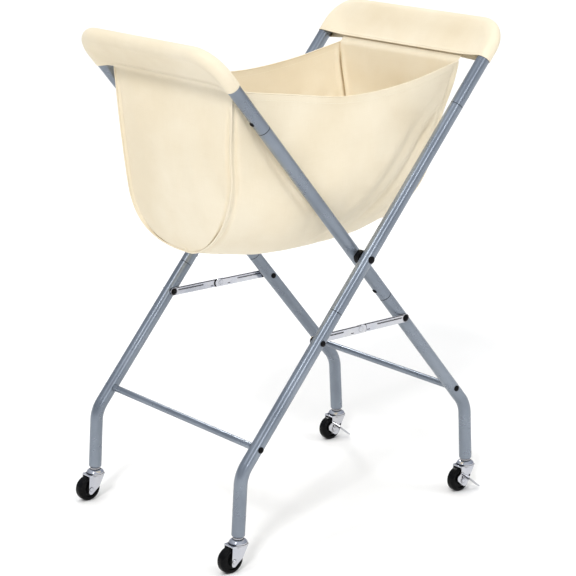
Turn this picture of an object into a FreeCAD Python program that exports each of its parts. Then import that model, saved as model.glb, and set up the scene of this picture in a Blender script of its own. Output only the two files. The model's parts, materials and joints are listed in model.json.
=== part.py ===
"""Folding X-frame laundry cart with a canvas bag, four casters, two of them braked.

Frame of the model: millimetres, +Z up, the origin on the floor under the scissor pivot.
X runs in the folding direction, -Y is the near side. The outer frame has its top bar at +X
and its feet at -X. The inner frame crosses it and is the narrower one of the two.
"""
import FreeCAD, Part
import math
import os

import Sketcher
from FreeCAD import Placement, Rotation, Vector

DIMENSIONS = {
    # frame tubes
    "tube_radius": 11.1,
    "tube_bore": 9.9,
    "outer_width": 203.1,
    "inner_width": 175.0,
    "lean_slope": 0.84,
    "pivot_height": 473.3,
    "top_height": 826.6,
    "corner_radius": 58.0,
    "upper_joint": 704.4,
    "lower_joint": 393.4,
    "bend_radius": 52.0,
    "splay_slope": 0.0615,
    "foot_reach": 269.0,
    "foot_height": 57.7,
    "foot_round": 3.0,
    "joint_gap": 1.2,
    "spigot_length": 34.0,
    "spigot_radius": 9.85,
    "spigot_bore": 8.7,
    # joint screws
    "screw_rise": 24.0,
    "screw_radius": 1.9,
    "screw_hole": 1.98,
    "screw_head": 4.2,
    "screw_dome": 1.9,
    "screw_length": 5.0,
    # crossbars
    "crossbar_height": 198.2,
    "crossbar_radius": 5.75,
    "crossbar_bore": 3.08,
    "crossbar_gap": 0.2,
    "crossbar_bolt": 3.0,
    "crossbar_hole": 3.08,
    "crossbar_bite": 20.0,
    "bolt_head": 5.2,
    "bolt_dome": 3.0,
    # scissor pivot
    "pivot_radius": 3.0,
    "pivot_hole": 3.07,
    "saddle_radius": 11.8,
    "saddle_wrap": 2.6,
    "saddle_gap": 0.1,
    "fit": 0.05,
    "pivot_nut": 5.0,
    "pivot_nut_height": 3.2,
    "pivot_head": 6.2,
    "pivot_head_height": 2.6,
    "pivot_head_skirt": 1.9,
    # folding brace
    "brace_drop": 122.6,
    "strip_thickness": 1.5,
    "strip_gap": 0.25,
    "strip_half_height": 7.0,
    "strip_tail": 12.0,
    "strip_hole": 2.57,
    "bead_start": 10.5,
    "bead_end": 64.0,
    "bead_half_height": 1.2,
    "bead_rise": 1.8,
    "edge_bead_start": 6.0,
    "edge_bead_half_height": 0.7,
    "edge_bead_rise": 6.0,
    "stop_bead": 16.0,
    "stop_bead_length": 5.0,
    "stop_bead_rise": -3.7,
    "bead_web": 0.4,
    "bead_overlap": 0.2,
    "rivet_radius": 2.5,
    "rivet_head": 4.3,
    "rivet_head_height": 0.6,
    "brace_bolt": 2.5,
    "brace_bolt_hole": 2.57,
    "brace_cap": 4.8,
    "brace_cap_height": 4.0,
    # casters
    "wheel_radius": 22.0,
    "wheel_half_width": 8.6,
    "wheel_shoulder": 5.5,
    "wheel_web": 6.0,
    "wheel_rim": 15.2,
    "wheel_hub": 7.0,
    "wheel_bore": 2.56,
    "axle_radius": 2.5,
    "axle_hole": 2.52,
    "axle_head": 3.4,
    "axle_head_height": 1.2,
    "axle_head_bevel": 0.7,
    "trail": 16.5,
    "cheek_thickness": 1.8,
    "cheek_inside": 9.4,
    "cheek_tip": 4.6,
    "tip_reach": 16.5,
    "tip_height": 16.6,
    "cheek_front": 13.0,
    "cheek_back": 19.5,
    "tip_turn": 52.0,
    "knee_reach": 0.7,
    "knee_height": 24.0,
    "crown_radius": 16.0,
    "crown_top": 47.1,
    "crown_thickness": 1.8,
    "crown_tail": 20.5,
    "tail_corner": 2.5,
    "crown_bore": 4.06,
    "stem_radius": 4.0,
    "stem_rivet": 6.5,
    "stem_rivet_height": 1.1,
    "race_radius": 15.4,
    "race_low": 47.5,
    "race_edge": 1.8,
    "race_high": 53.9,
    "race_dome": 10.5,
    "collar_radius": 9.6,
    "neck_radius": 8.6,
    "foot_gap": 0.8,
    "plug_radius": 7.9,
    "plug_length": 24.0,
    # brake lever
    "lever_thickness": 1.3,
    "lever_radius": 7.4,
    "lever_length": 14.6,
    "lever_boss": 5.0,
    "lever_boss_height": 0.6,
    "lever_bore": 2.56,
    "lever_hole": 1.8,
    "lever_hole_back": 6.0,
    "lever_hole_rise": 3.9,
    "pedal_reach": 38.0,
    "pedal_root": 8.3,
    "pedal_slope": 0.827,
    "pedal_thickness": 1.3,
    "pedal_width": 11.0,
    "pedal_start": 12.0,
    # brake stop
    "stop_reach": 0.6,
    "stop_height": 27.6,
    "stop_radius": 1.3,
    "stop_hole": 1.34,
    "stop_head": 1.7,
    "stop_head_height": 0.9,
    # canvas
    "canvas": 1.2,
    "sleeve_clearance": 0.5,
    "sleeve_height": 775.8,
    "bag_inner_end": 152.0,
    "bag_outer_end": 130.0,
    "bag_corner": 62.0,
    "bag_floor": 482.0,
    "rim_height": 767.0,
    "rim_sag": 30.0,
    "end_top_reach": 250.0,
    "end_floor_reach": 228.0,
    "end_inset": 0.6,
    "end_top": 772.0,
}

doc = FreeCAD.newDocument("laundry_cart")
sheet = doc.addObject("Spreadsheet::Sheet", "dims")
for row, (alias, number) in enumerate(DIMENSIONS.items(), start=1):
    sheet.set(f"A{row}", alias)
    sheet.set(f"B{row}", str(number))
    sheet.setAlias(f"B{row}", alias)
doc.recompute()

SUB_PARTS = []


def value(expression):
    """The present value of an expression in the sheet's names."""
    return float(sheet.evalExpression(expression))


def size(alias):
    """One driving dimension."""
    return float(sheet.get(alias))


LEAN = math.degrees(math.atan(size("lean_slope")))
NEAR, FAR = -1, 1
SIDES = {"near": NEAR, "far": FAR}
AXIS_X, AXIS_Y, AXIS_Z = Vector(1, 0, 0), Vector(0, 1, 0), Vector(0, 0, 1)

# The two frames are one shape. The inner frame's feet are at +X, and the outer frame is
# turned half a turn about Z.
FRAMES = {
    "inner": {"width": "dims.inner_width", "turn": 0.0},
    "outer": {"width": "dims.outer_width", "turn": 180.0},
}

ROOT = "sqrt(1 + dims.lean_slope^2)"
BOW_DROP = f"(dims.top_height - dims.upper_joint) * {ROOT}"
TUBE_UP = f"(dims.upper_joint - dims.pivot_height) * {ROOT}"
TUBE_DOWN = f"(dims.pivot_height - dims.lower_joint) * {ROOT}"
SLEEVE_DROP = f"(dims.top_height - dims.sleeve_height) * {ROOT}"
STRIP_STAND = (
    "(dims.outer_width - dims.inner_width - 2 * dims.tube_radius"
    " - 2 * dims.strip_thickness - dims.strip_gap) / 2"
)
STRIP_REACH = "dims.brace_drop * dims.lean_slope"
# the part of a cap nut's height that its blind bore takes
BORE_SHARE = 0.7


# ---------------------------------------------------------------- sketches and features


def new_body(label):
    body = doc.addObject("PartDesign::Body", label)
    body.Label = label
    return body


def origin_plane(body, role):
    return next(item for item in body.Origin.OriginFeatures if item.Role == role)


def new_sketch(body, role, offset=None):
    """A sketch on one of the body's origin planes, moved along its normal by offset."""
    sketch = body.newObject("Sketcher::SketchObject", f"{body.Name}_sketch")
    sketch.AttachmentSupport = [(origin_plane(body, role), "")]
    sketch.MapMode = "FlatFace"
    if offset is not None:
        sketch.setExpression("AttachmentOffset.Base.z", offset)
    return sketch


def bind(sketch, constraint, expression):
    index = sketch.addConstraint(constraint)
    sketch.setExpression(f"Constraints[{index}]", expression)


def pin(sketch, item, end, across, up):
    """Holds one end of an item at two expressions, measured from the sketch's origin."""
    bind(sketch, Sketcher.Constraint("DistanceX", -1, 1, item, end, value(across)), across)
    bind(sketch, Sketcher.Constraint("DistanceY", -1, 1, item, end, value(up)), up)


def arc_between(start, end, radius, turn):
    """The short arc from start to end: anticlockwise when turn is 1, clockwise when -1."""
    chord = end - start
    half = chord.Length / 2
    rise = math.sqrt(max(radius * radius - half * half, 0.0))
    left = Vector(-chord.y, chord.x, 0).normalize()
    centre = (start + end) * 0.5 + left * (rise * turn)
    first, last = (start, end) if turn > 0 else (end, start)
    angles = [math.atan2(p.y - centre.y, p.x - centre.x) for p in (first, last)]
    return Part.ArcOfCircle(Part.Circle(centre, AXIS_Z, radius), *angles)


def draw(sketch, points, closed=True):
    """Joins points of (across, up) expressions with lines.

    A point may also hold a radius expression and a turn of 1 or -1, and the side that
    starts there is then an arc.
    """
    places = [Vector(value(point[0]), value(point[1]), 0) for point in points]
    sides = len(points) if closed else len(points) - 1
    ends = []
    for i in range(sides):
        start, end = places[i], places[(i + 1) % len(points)]
        if len(points[i]) == 2:
            item = sketch.addGeometry(Part.LineSegment(start, end))
            ends.append((item, 1, 2))
            continue
        radius, turn = points[i][2:]
        item = sketch.addGeometry(arc_between(start, end, value(radius), turn))
        bind(sketch, Sketcher.Constraint("Radius", item, value(radius)), radius)
        ends.append((item, 1, 2) if turn > 0 else (item, 2, 1))
    for i, (item, start, end) in enumerate(ends):
        pin(sketch, item, start, *points[i][:2])
        if closed or i + 1 < sides:
            after = ends[(i + 1) % sides]
            join = Sketcher.Constraint("Coincident", item, end, after[0], after[1])
            sketch.addConstraint(join)
    if not closed:
        pin(sketch, ends[-1][0], ends[-1][2], *points[-1][:2])


def circle(sketch, across, up, radius):
    centre = Vector(value(across), value(up), 0)
    item = sketch.addGeometry(Part.Circle(centre, AXIS_Z, value(radius)))
    pin(sketch, item, 3, across, up)
    bind(sketch, Sketcher.Constraint("Radius", item, value(radius)), radius)


def pad(body, sketch, length, both=False, back=False):
    feature = body.newObject("PartDesign::Pad", f"{body.Name}_pad")
    feature.Profile = sketch
    feature.setExpression("Length", length)
    feature.Midplane = both
    feature.Reversed = back
    body.Tip = feature
    return feature


def pocket(body, sketch, length=None, both=False, back=False):
    """Cuts to a length, or right through, and makes sure that it took something away."""
    doc.recompute()
    before = body.Shape.Volume
    feature = body.newObject("PartDesign::Pocket", f"{body.Name}_pocket")
    feature.Profile = sketch
    feature.Midplane = both
    feature.Reversed = back
    if length is None:
        feature.Type = "ThroughAll"
    else:
        feature.setExpression("Length", length)
    body.Tip = feature
    doc.recompute()
    if not body.Shape.Volume < before:
        raise RuntimeError(f"{body.Label}: the pocket cuts nothing")
    return feature


def turned(label, outline):
    """A body turned about its own Z axis from an outline of (radius, height) points."""
    body = new_body(label)
    sketch = new_sketch(body, "XZ_Plane")
    draw(sketch, outline)
    feature = body.newObject("PartDesign::Revolution", f"{body.Name}_turn")
    feature.Profile = sketch
    feature.ReferenceAxis = (sketch, ["V_Axis"])
    feature.Angle = 360.0
    body.Tip = feature
    return body


def pipe(body, path, radii):
    """Sweeps a ring of the given radii along a path sketch of the same body."""
    profile = profile_on(body, path, radii)
    feature = body.newObject("PartDesign::AdditivePipe", f"{body.Name}_pipe")
    feature.Profile = profile
    feature.Spine = path
    body.Tip = feature
    return feature


def profile_on(body, path, radii):
    """Rings drawn square to the start of a path."""
    doc.recompute()
    profile = body.newObject("Sketcher::SketchObject", f"{body.Name}_profile")
    profile.AttachmentSupport = [(path, "Edge1")]
    profile.MapMode = "NormalToEdge"
    profile.MapPathParameter = 0.0
    for radius in radii:
        circle(profile, "0", "0", radius)
    return profile


def group(label, members):
    """Equal pieces that share one node, each a solid of its own."""
    compound = doc.addObject("Part::Compound", label)
    compound.Label = label
    compound.Links = members
    return keep(compound)


def keep(part):
    SUB_PARTS.append(part)
    return part


# ---------------------------------------------------------------- places


def frame_turn(frame):
    return Rotation(AXIS_Z, FRAMES[frame]["turn"])


def lean_turn(frame):
    """Takes a body's own Z to the direction in which that frame's side tubes rise."""
    return frame_turn(frame).multiply(Rotation(AXIS_Y, -LEAN))


def at_side(frame, side, along):
    """A point of a side tube's axis, a distance along it above the scissor pivot."""
    up = lean_turn(frame).multVec(AXIS_Z)
    centre = Vector(0, side * value(FRAMES[frame]["width"]), size("pivot_height"))
    return centre + up * along


def bow_place(frame):
    """The middle of a top bar's axis, with a body's Z along the side tubes."""
    rise = (size("top_height") - size("pivot_height")) / math.cos(math.radians(LEAN))
    return Placement(at_side(frame, 0, rise), lean_turn(frame))


def facing(frame, side):
    """The Y direction from a side tube to the other frame's tube beside it."""
    return AXIS_Y * (side if frame == "inner" else -side)


def to_face(axis, tube):
    """Takes a body's Z to axis and its Y to the direction of the tube that it sits on."""
    return Rotation(Vector(), tube, axis, "ZYX")


def brace_along():
    return -size("brace_drop") / math.cos(math.radians(LEAN))


def foot_place(frame, side):
    spot = frame_turn(frame).multVec(Vector(size("foot_reach"), 0, 0))
    return spot + AXIS_Y * (side * value(FRAMES[frame]["width"]))


# ---------------------------------------------------------------- frame tubes


def top_bow(frame):
    """The upper hoop: the top bar, two round corners and the upper side tubes."""
    body = new_body(f"{frame}_top_bow")
    width = FRAMES[frame]["width"]
    foot = f"dims.joint_gap - {BOW_DROP}"
    path = new_sketch(body, "YZ_Plane")
    draw(
        path,
        [
            (f"-{width}", foot),
            (f"-{width}", "-dims.corner_radius", "dims.corner_radius", -1),
            (f"dims.corner_radius - {width}", "0"),
            (f"{width} - dims.corner_radius", "0", "dims.corner_radius", -1),
            (width, "-dims.corner_radius"),
            (width, foot),
        ],
        closed=False,
    )
    pipe(body, path, ["dims.tube_radius", "dims.tube_bore"])
    holes = new_sketch(body, "YZ_Plane")
    for sign in ("-", ""):
        circle(holes, f"{sign}{width}", f"dims.screw_rise - {BOW_DROP}", "dims.screw_hole")
    pocket(body, holes)
    body.Placement = bow_place(frame)
    return keep(body)


def side_tube(frame, side_name):
    """The middle tube, which carries the scissor pivot and a spigot on its upper end."""
    low = f"dims.joint_gap - {TUBE_DOWN}"
    body = turned(
        f"{frame}_side_tube_{side_name}",
        [
            ("dims.tube_bore", low),
            ("dims.tube_radius", low),
            ("dims.tube_radius", TUBE_UP),
            ("dims.spigot_radius", TUBE_UP),
            ("dims.spigot_radius", f"{TUBE_UP} + dims.spigot_length"),
            ("dims.spigot_bore", f"{TUBE_UP} + dims.spigot_length"),
            ("dims.spigot_bore", f"{TUBE_UP} - dims.spigot_length / 4"),
            ("dims.tube_bore", f"{TUBE_UP} - dims.spigot_length / 3"),
        ],
    )
    across = new_sketch(body, "XZ_Plane")
    circle(across, "0", "0", "dims.pivot_hole")
    pocket(body, across, both=True)
    below = new_sketch(body, "YZ_Plane")
    circle(below, "0", f"dims.screw_rise - {TUBE_DOWN}", "dims.screw_hole")
    circle(below, "0", f"{TUBE_UP} + dims.screw_rise", "dims.screw_hole")
    pocket(body, below)
    body.Placement = Placement(at_side(frame, SIDES[side_name], 0), lean_turn(frame))
    return keep(body)


def foot_tip(body):
    """Rolls a leg's lower end inwards, turned about the splayed foot's own axis."""
    tip = new_sketch(body, "XZ_Plane")
    splay = math.degrees(math.atan(size("splay_slope")))
    foot = Vector(size("foot_reach"), size("foot_height"), 0)
    tip.AttachmentOffset = Placement(foot, Rotation(AXIS_Z, splay))
    wall = "(dims.tube_radius - dims.tube_bore)"
    mouth = "dims.tube_radius - dims.foot_round"
    draw(
        tip,
        [
            (mouth, "0", "dims.foot_round", 1),
            ("dims.tube_radius", "dims.foot_round"),
            ("dims.tube_bore", "dims.foot_round", f"dims.foot_round - {wall}", -1),
            (mouth, wall),
        ],
    )
    feature = body.newObject("PartDesign::Revolution", f"{body.Name}_tip")
    feature.Profile = tip
    feature.ReferenceAxis = (tip, ["V_Axis"])
    feature.Angle = 360.0
    body.Tip = feature


def leg(frame, side_name):
    """The lower tube: a spigot, a slanted run with the brace hole, a bend and the foot.

    It is drawn in the row's own X and Z, as the inner frame's leg.
    """
    body = new_body(f"{frame}_leg_{side_name}")
    start = "dims.lean_slope * (dims.pivot_height - dims.lower_joint)"
    lean, splay = "atan(dims.lean_slope)", "atan(dims.splay_slope)"
    # the slanted and the splayed axes cross at the corner, and the arc rounds it off
    bend_height = (
        "(dims.foot_reach + dims.splay_slope * dims.foot_height"
        " - dims.lean_slope * dims.pivot_height) / (dims.splay_slope - dims.lean_slope)"
    )
    bend_reach = f"dims.lean_slope * (dims.pivot_height - {bend_height})"
    cut = f"dims.bend_radius * tan(({lean} - {splay}) / 2)"
    rise = f"dims.foot_round * cos({splay})"
    path = new_sketch(body, "XZ_Plane")
    draw(
        path,
        [
            (start, "dims.lower_joint"),
            (
                f"{bend_reach} - {cut} * sin({lean})",
                f"{bend_height} + {cut} * cos({lean})",
                "dims.bend_radius",
                -1,
            ),
            (f"{bend_reach} + {cut} * sin({splay})", f"{bend_height} - {cut} * cos({splay})"),
            (f"dims.foot_reach - {rise} * dims.splay_slope", f"dims.foot_height + {rise}"),
        ],
        closed=False,
    )
    pipe(body, path, ["dims.tube_radius", "dims.tube_bore"])
    foot_tip(body)
    shoulder = profile_on(body, path, ["dims.tube_radius", "dims.spigot_bore"])
    pad(body, shoulder, "dims.spigot_length / 4", back=True)
    spigot = profile_on(body, path, ["dims.spigot_radius", "dims.spigot_bore"])
    pad(body, spigot, "dims.spigot_length")
    across = new_sketch(body, "XZ_Plane")
    brace_reach = "dims.lean_slope * dims.brace_drop"
    circle(across, brace_reach, "dims.pivot_height - dims.brace_drop", "dims.brace_bolt_hole")
    crossbar_reach = "dims.lean_slope * (dims.pivot_height - dims.crossbar_height)"
    circle(across, crossbar_reach, "dims.crossbar_height", "dims.crossbar_hole")
    pocket(body, across, both=True)
    screw = new_sketch(body, "YZ_Plane")
    rise = size("screw_rise") * math.cos(math.radians(LEAN))
    spot = Vector(value(start) - rise * size("lean_slope"), 0, size("lower_joint") + rise)
    # in the YZ plane's own axes, across is Y, up is Z and the normal is X
    screw.AttachmentOffset = Placement(Vector(0, spot.z, spot.x), Rotation(AXIS_X, -LEAN))
    circle(screw, "0", "0", "dims.screw_hole")
    pocket(body, screw, length="dims.tube_radius")
    base = AXIS_Y * (SIDES[side_name] * value(FRAMES[frame]["width"]))
    body.Placement = Placement(base, frame_turn(frame))
    return keep(body)


def crossbar(frame):
    """The bar between the two legs, bored for the bolts that hold it."""
    body = new_body(f"{frame}_crossbar")
    sketch = new_sketch(body, "XZ_Plane")
    reach = "dims.lean_slope * (dims.pivot_height - dims.crossbar_height)"
    for radius in ("dims.crossbar_radius", "dims.crossbar_bore"):
        circle(sketch, reach, "dims.crossbar_height", radius)
    width = FRAMES[frame]["width"]
    pad(body, sketch, f"2 * ({width} - dims.tube_radius - dims.crossbar_gap)", both=True)
    body.Placement = Placement(Vector(), frame_turn(frame))
    return keep(body)


# ---------------------------------------------------------------- fasteners


def domed(label, head, dome, seat, shank, tip):
    """A screw or bolt along its own Z: a domed head above seat, and a shank down to tip."""
    lip, crown = f"{dome} / 4", f"(0.75 * {dome})"
    bulge = f"({head}^2 + {crown}^2) / (2 * {crown})"
    return turned(
        label,
        [
            ("0", tip),
            (shank, tip),
            (shank, seat),
            (head, seat),
            (head, f"{seat} + {lip}", bulge, 1),
            ("0", f"{seat} + {dome}"),
        ],
    )


def cap_nut(label, radius, height, bore, depth):
    """A domed cap along its own Z, with a blind bore of some depth in its flat face."""
    skirt, crown = f"0.4 * {height}", f"(0.6 * {height})"
    bulge = f"({radius}^2 + {crown}^2) / (2 * {crown})"
    return turned(
        label,
        [
            ("0", depth),
            (bore, depth),
            (bore, "0"),
            (radius, "0"),
            (radius, skirt, bulge, 1),
            ("0", height),
        ],
    )


def joint_screws(frame):
    """The four screws under the side tubes that hold the spigots."""
    lean = math.radians(LEAN)
    heights = [
        (size("upper_joint") - size("pivot_height")) / math.cos(lean) + size("screw_rise"),
        (size("lower_joint") - size("pivot_height")) / math.cos(lean) + size("screw_rise"),
    ]
    down = lean_turn(frame).multVec(AXIS_X) * -1
    screws = []
    for side_name, side in SIDES.items():
        for level, height in zip(("upper", "lower"), heights):
            screw = domed(
                f"{frame}_screw_{level}_{side_name}",
                "dims.screw_head",
                "dims.screw_dome",
                "dims.tube_radius",
                "dims.screw_radius",
                "dims.tube_radius - dims.screw_length",
            )
            screw.Placement = Placement(at_side(frame, side, height), Rotation(AXIS_Z, down))
            screws.append(screw)
    return group(f"{frame}_joint_screws", screws)


def crossbar_bolts(frame):
    """One bolt through each leg into the end of the crossbar."""
    drop = (size("crossbar_height") - size("pivot_height")) / math.cos(math.radians(LEAN))
    bolts = []
    for side_name, side in SIDES.items():
        bolt = domed(
            f"{frame}_crossbar_bolt_{side_name}",
            "dims.bolt_head",
            "dims.bolt_dome",
            "dims.tube_radius",
            "dims.crossbar_bolt",
            "-dims.tube_radius - dims.crossbar_bite",
        )
        bolt.Placement = Placement(at_side(frame, side, drop), Rotation(AXIS_Z, AXIS_Y * side))
        bolts.append(bolt)
    return group(f"{frame}_crossbar_bolts", bolts)


def skirted_bolt(label):
    """A scissor bolt along its own Z, with a domed head that sits on a tube along its Y."""
    seat, dome = "dims.tube_radius", "dims.pivot_head_height"
    lip, crown = f"{dome} / 4", f"(0.75 * {dome})"
    bulge = f"(dims.pivot_head^2 + {crown}^2) / (2 * {crown})"
    skirt = f"{seat} - dims.pivot_head_skirt"
    tip = "dims.inner_width - dims.outer_width - dims.tube_radius - dims.pivot_nut_height / 2"
    body = turned(
        label,
        [
            ("0", skirt),
            ("dims.pivot_head", skirt),
            ("dims.pivot_head", f"{seat} + {lip}", bulge, 1),
            ("0", f"{seat} + {dome}"),
        ],
    )
    tube = new_sketch(body, "XZ_Plane")
    circle(tube, "0", "0", "dims.tube_radius + dims.fit")
    pocket(body, tube, both=True)
    shank = new_sketch(body, "XY_Plane", offset=tip)
    circle(shank, "0", "0", "dims.pivot_radius")
    pad(body, shank, f"{seat} + {lip} - ({tip})")
    return body


def pivot_bolts():
    """The scissor bolts, one a side, through outer tube, saddles and inner tube."""
    bolts = []
    tube = lean_turn("outer").multVec(AXIS_Z)
    for side_name, side in SIDES.items():
        bolt = skirted_bolt(f"pivot_bolt_{side_name}")
        bolt.Placement = Placement(at_side("outer", side, 0), to_face(AXIS_Y * side, tube))
        bolts.append(bolt)
    return group("pivot_bolts", bolts)


def pivot_nuts():
    """Cap nuts on the scissor bolts, inside the inner tubes."""
    nuts = []
    for side_name, side in SIDES.items():
        nut = cap_nut(
            f"pivot_nut_{side_name}",
            "dims.pivot_nut",
            "dims.pivot_nut_height",
            "dims.pivot_hole",
            f"{BORE_SHARE} * dims.pivot_nut_height",
        )
        spot = at_side("inner", side, 0) - AXIS_Y * (side * (size("tube_radius") + size("fit")))
        nut.Placement = Placement(spot, Rotation(AXIS_Z, AXIS_Y * -side))
        nuts.append(nut)
    return group("pivot_nuts", nuts)


def saddled(label, radius, bore, low, high):
    """A disc along its own Z from low to high, hollowed to sit on a tube along its Y."""
    body = new_body(label)
    sketch = new_sketch(body, "XY_Plane", offset=low)
    circle(sketch, "0", "0", radius)
    circle(sketch, "0", "0", bore)
    pad(body, sketch, f"{high} - ({low})")
    tube = new_sketch(body, "XZ_Plane")
    circle(tube, "0", "0", "dims.tube_radius + dims.fit")
    pocket(body, tube, both=True)
    return body


def pivot_saddles(frame):
    """The bearing discs between the crossing tubes, one on each tube."""
    gap = "(dims.outer_width - dims.inner_width - 2 * dims.tube_radius) / 2"
    saddles = []
    for side_name, side in SIDES.items():
        saddle = saddled(
            f"{frame}_saddle_{side_name}",
            "dims.saddle_radius",
            "dims.pivot_hole",
            "dims.tube_radius - dims.saddle_wrap",
            f"dims.tube_radius + {gap} - dims.saddle_gap",
        )
        turn = to_face(facing(frame, side), lean_turn(frame).multVec(AXIS_Z))
        saddle.Placement = Placement(at_side(frame, side, 0), turn)
        saddles.append(saddle)
    return group(f"{frame}_pivot_saddles", saddles)


# ---------------------------------------------------------------- folding brace


def brace_spacers(frame):
    """Saddle spacers that hold the brace strips off the legs."""
    spacers = []
    for side_name, side in SIDES.items():
        spacer = saddled(
            f"{frame}_brace_spacer_{side_name}",
            "dims.strip_half_height",
            "dims.brace_bolt_hole",
            "dims.tube_radius - dims.strip_thickness",
            f"dims.tube_radius + {STRIP_STAND} - dims.fit",
        )
        turn = to_face(facing(frame, side), lean_turn(frame).multVec(AXIS_Z))
        spacer.Placement = Placement(at_side(frame, side, brace_along()), turn)
        spacers.append(spacer)
    return group(f"{frame}_brace_spacers", spacers)


def brace_bolts(frame):
    """The bolts on which the brace strips turn, through the legs."""
    bolts = []
    for side_name, side in SIDES.items():
        bolt = domed(
            f"{frame}_brace_bolt_{side_name}",
            "dims.brace_cap",
            "dims.brace_cap_height",
            f"dims.tube_radius + {STRIP_STAND} + dims.strip_thickness + dims.fit",
            "dims.brace_bolt",
            "-dims.tube_radius - dims.brace_cap_height / 2",
        )
        turn = Rotation(AXIS_Z, facing(frame, side))
        bolt.Placement = Placement(at_side(frame, side, brace_along()), turn)
        bolts.append(bolt)
    return group(f"{frame}_brace_bolts", bolts)


def brace_caps(frame):
    """Cap nuts on the brace bolts, on the other face of each leg."""
    caps = []
    for side_name, side in SIDES.items():
        cap = cap_nut(
            f"{frame}_brace_cap_{side_name}",
            "dims.brace_cap",
            "dims.brace_cap_height",
            "dims.brace_bolt_hole",
            f"{BORE_SHARE} * dims.brace_cap_height",
        )
        away = facing(frame, side) * -1
        spot = at_side(frame, side, brace_along()) + away * (size("tube_radius") + size("fit"))
        cap.Placement = Placement(spot, Rotation(AXIS_Z, away))
        caps.append(cap)
    return group(f"{frame}_brace_caps", caps)


def strip_plane(frame, side):
    """How far the middle of a strip's thickness lies from the XZ plane, with its sign."""
    stand = size("tube_radius") + value(STRIP_STAND) + size("strip_thickness") / 2
    return side * value(FRAMES[frame]["width"]) + facing(frame, side).y * stand


def bead(sketch, start, end, rise, half):
    """A round-ended outline along a strip, whose straight edges run from start to end."""
    draw(
        sketch,
        [
            (start, f"{rise} - ({half})"),
            (end, f"{rise} - ({half})", half, 1),
            (f"{end} + {half}", rise, half, 1),
            (end, f"{rise} + {half}"),
            (start, f"{rise} + {half}", half, 1),
            (f"{start} - ({half})", rise, half, 1),
        ],
    )


def strip_beads(sketch, grown):
    """The two long grooves and the short stop groove of a brace strip."""
    long_half = f"(dims.bead_half_height{grown})"
    bead(sketch, "dims.bead_start", "dims.bead_end", "dims.bead_rise", long_half)
    edge_half = f"(dims.edge_bead_half_height{grown})"
    edge_end = f"({STRIP_REACH})"
    bead(sketch, "dims.edge_bead_start", edge_end, "dims.edge_bead_rise", edge_half)
    stop_end = f"({STRIP_REACH} - dims.stop_bead)"
    stop_start = f"({stop_end} - dims.stop_bead_length)"
    bead(sketch, stop_start, stop_end, "dims.stop_bead_rise", edge_half)


def brace_strip(frame, side_name):
    """One half of a folding brace, from its leg bolt at its own origin to the rivet.

    Its stamped grooves show on both faces, so a thin web is left in the middle of each.
    """
    side = SIDES[side_name]
    body = new_body(f"{frame}_brace_strip_{side_name}")
    sketch = new_sketch(body, "XZ_Plane")
    half = "dims.strip_half_height"
    end = f"{STRIP_REACH} + dims.strip_tail"
    draw(
        sketch,
        [
            ("0", f"-{half}"),
            (f"{end} - {half}", f"-{half}", half, 1),
            (end, "0", half, 1),
            (f"{end} - {half}", half),
            ("0", half, half, 1),
            (f"-{half}", "0", half, 1),
        ],
    )
    circle(sketch, "0", "0", "dims.strip_hole")
    circle(sketch, STRIP_REACH, "0", "dims.strip_hole")
    strip_beads(sketch, "")
    pad(body, sketch, "dims.strip_thickness", both=True)
    web = new_sketch(body, "XZ_Plane")
    strip_beads(web, " + dims.bead_overlap")
    pad(body, web, "dims.bead_web", both=True)
    inward = Rotation(AXIS_Z, 180.0) if frame == "inner" else Rotation()
    spot = at_side(frame, side, brace_along())
    spot.y = strip_plane(frame, side)
    body.Placement = Placement(spot, inward)
    return keep(body)


def brace_rivet(frame, side_name):
    """Half of the rivet at the middle of a brace: a head, and a shank inside one strip."""
    side = SIDES[side_name]
    rivet = domed(
        f"{frame}_brace_rivet_{side_name}",
        "dims.rivet_head",
        "dims.rivet_head_height",
        "dims.strip_thickness / 2",
        "dims.rivet_radius",
        "-dims.strip_thickness / 2",
    )
    spot = Vector(0, strip_plane(frame, side), size("pivot_height") - size("brace_drop"))
    rivet.Placement = Placement(spot, Rotation(AXIS_Z, facing(frame, side) * -1))
    return keep(rivet)


# ---------------------------------------------------------------- casters


def caster_stems(frame):
    """Plug, domed upper race and swivel stem of the frame's two casters."""
    below = "dims.crown_top - dims.crown_thickness - dims.fit"
    stems = []
    for side_name, side in SIDES.items():
        stem = turned(
            f"{frame}_caster_stem_{side_name}",
            [
                ("0", f"{below} - dims.stem_rivet_height"),
                ("dims.stem_rivet", f"{below} - dims.stem_rivet_height"),
                ("dims.stem_rivet", below),
                ("dims.stem_radius", below),
                ("dims.stem_radius", "dims.race_low"),
                ("dims.race_radius", "dims.race_low"),
                ("dims.race_radius", "dims.race_low + dims.race_edge", "dims.race_dome", 1),
                ("dims.collar_radius", "dims.race_high"),
                ("dims.neck_radius", "dims.race_high"),
                ("dims.neck_radius", "dims.foot_height - dims.foot_gap"),
                ("dims.plug_radius", "dims.foot_height - dims.foot_gap"),
                ("dims.plug_radius", "dims.foot_height + dims.plug_length"),
                ("0", "dims.foot_height + dims.plug_length"),
            ],
        )
        stem.Placement = Placement(foot_place(frame, side), Rotation())
        stems.append(stem)
    return group(f"{frame}_caster_stems", stems)


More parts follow.
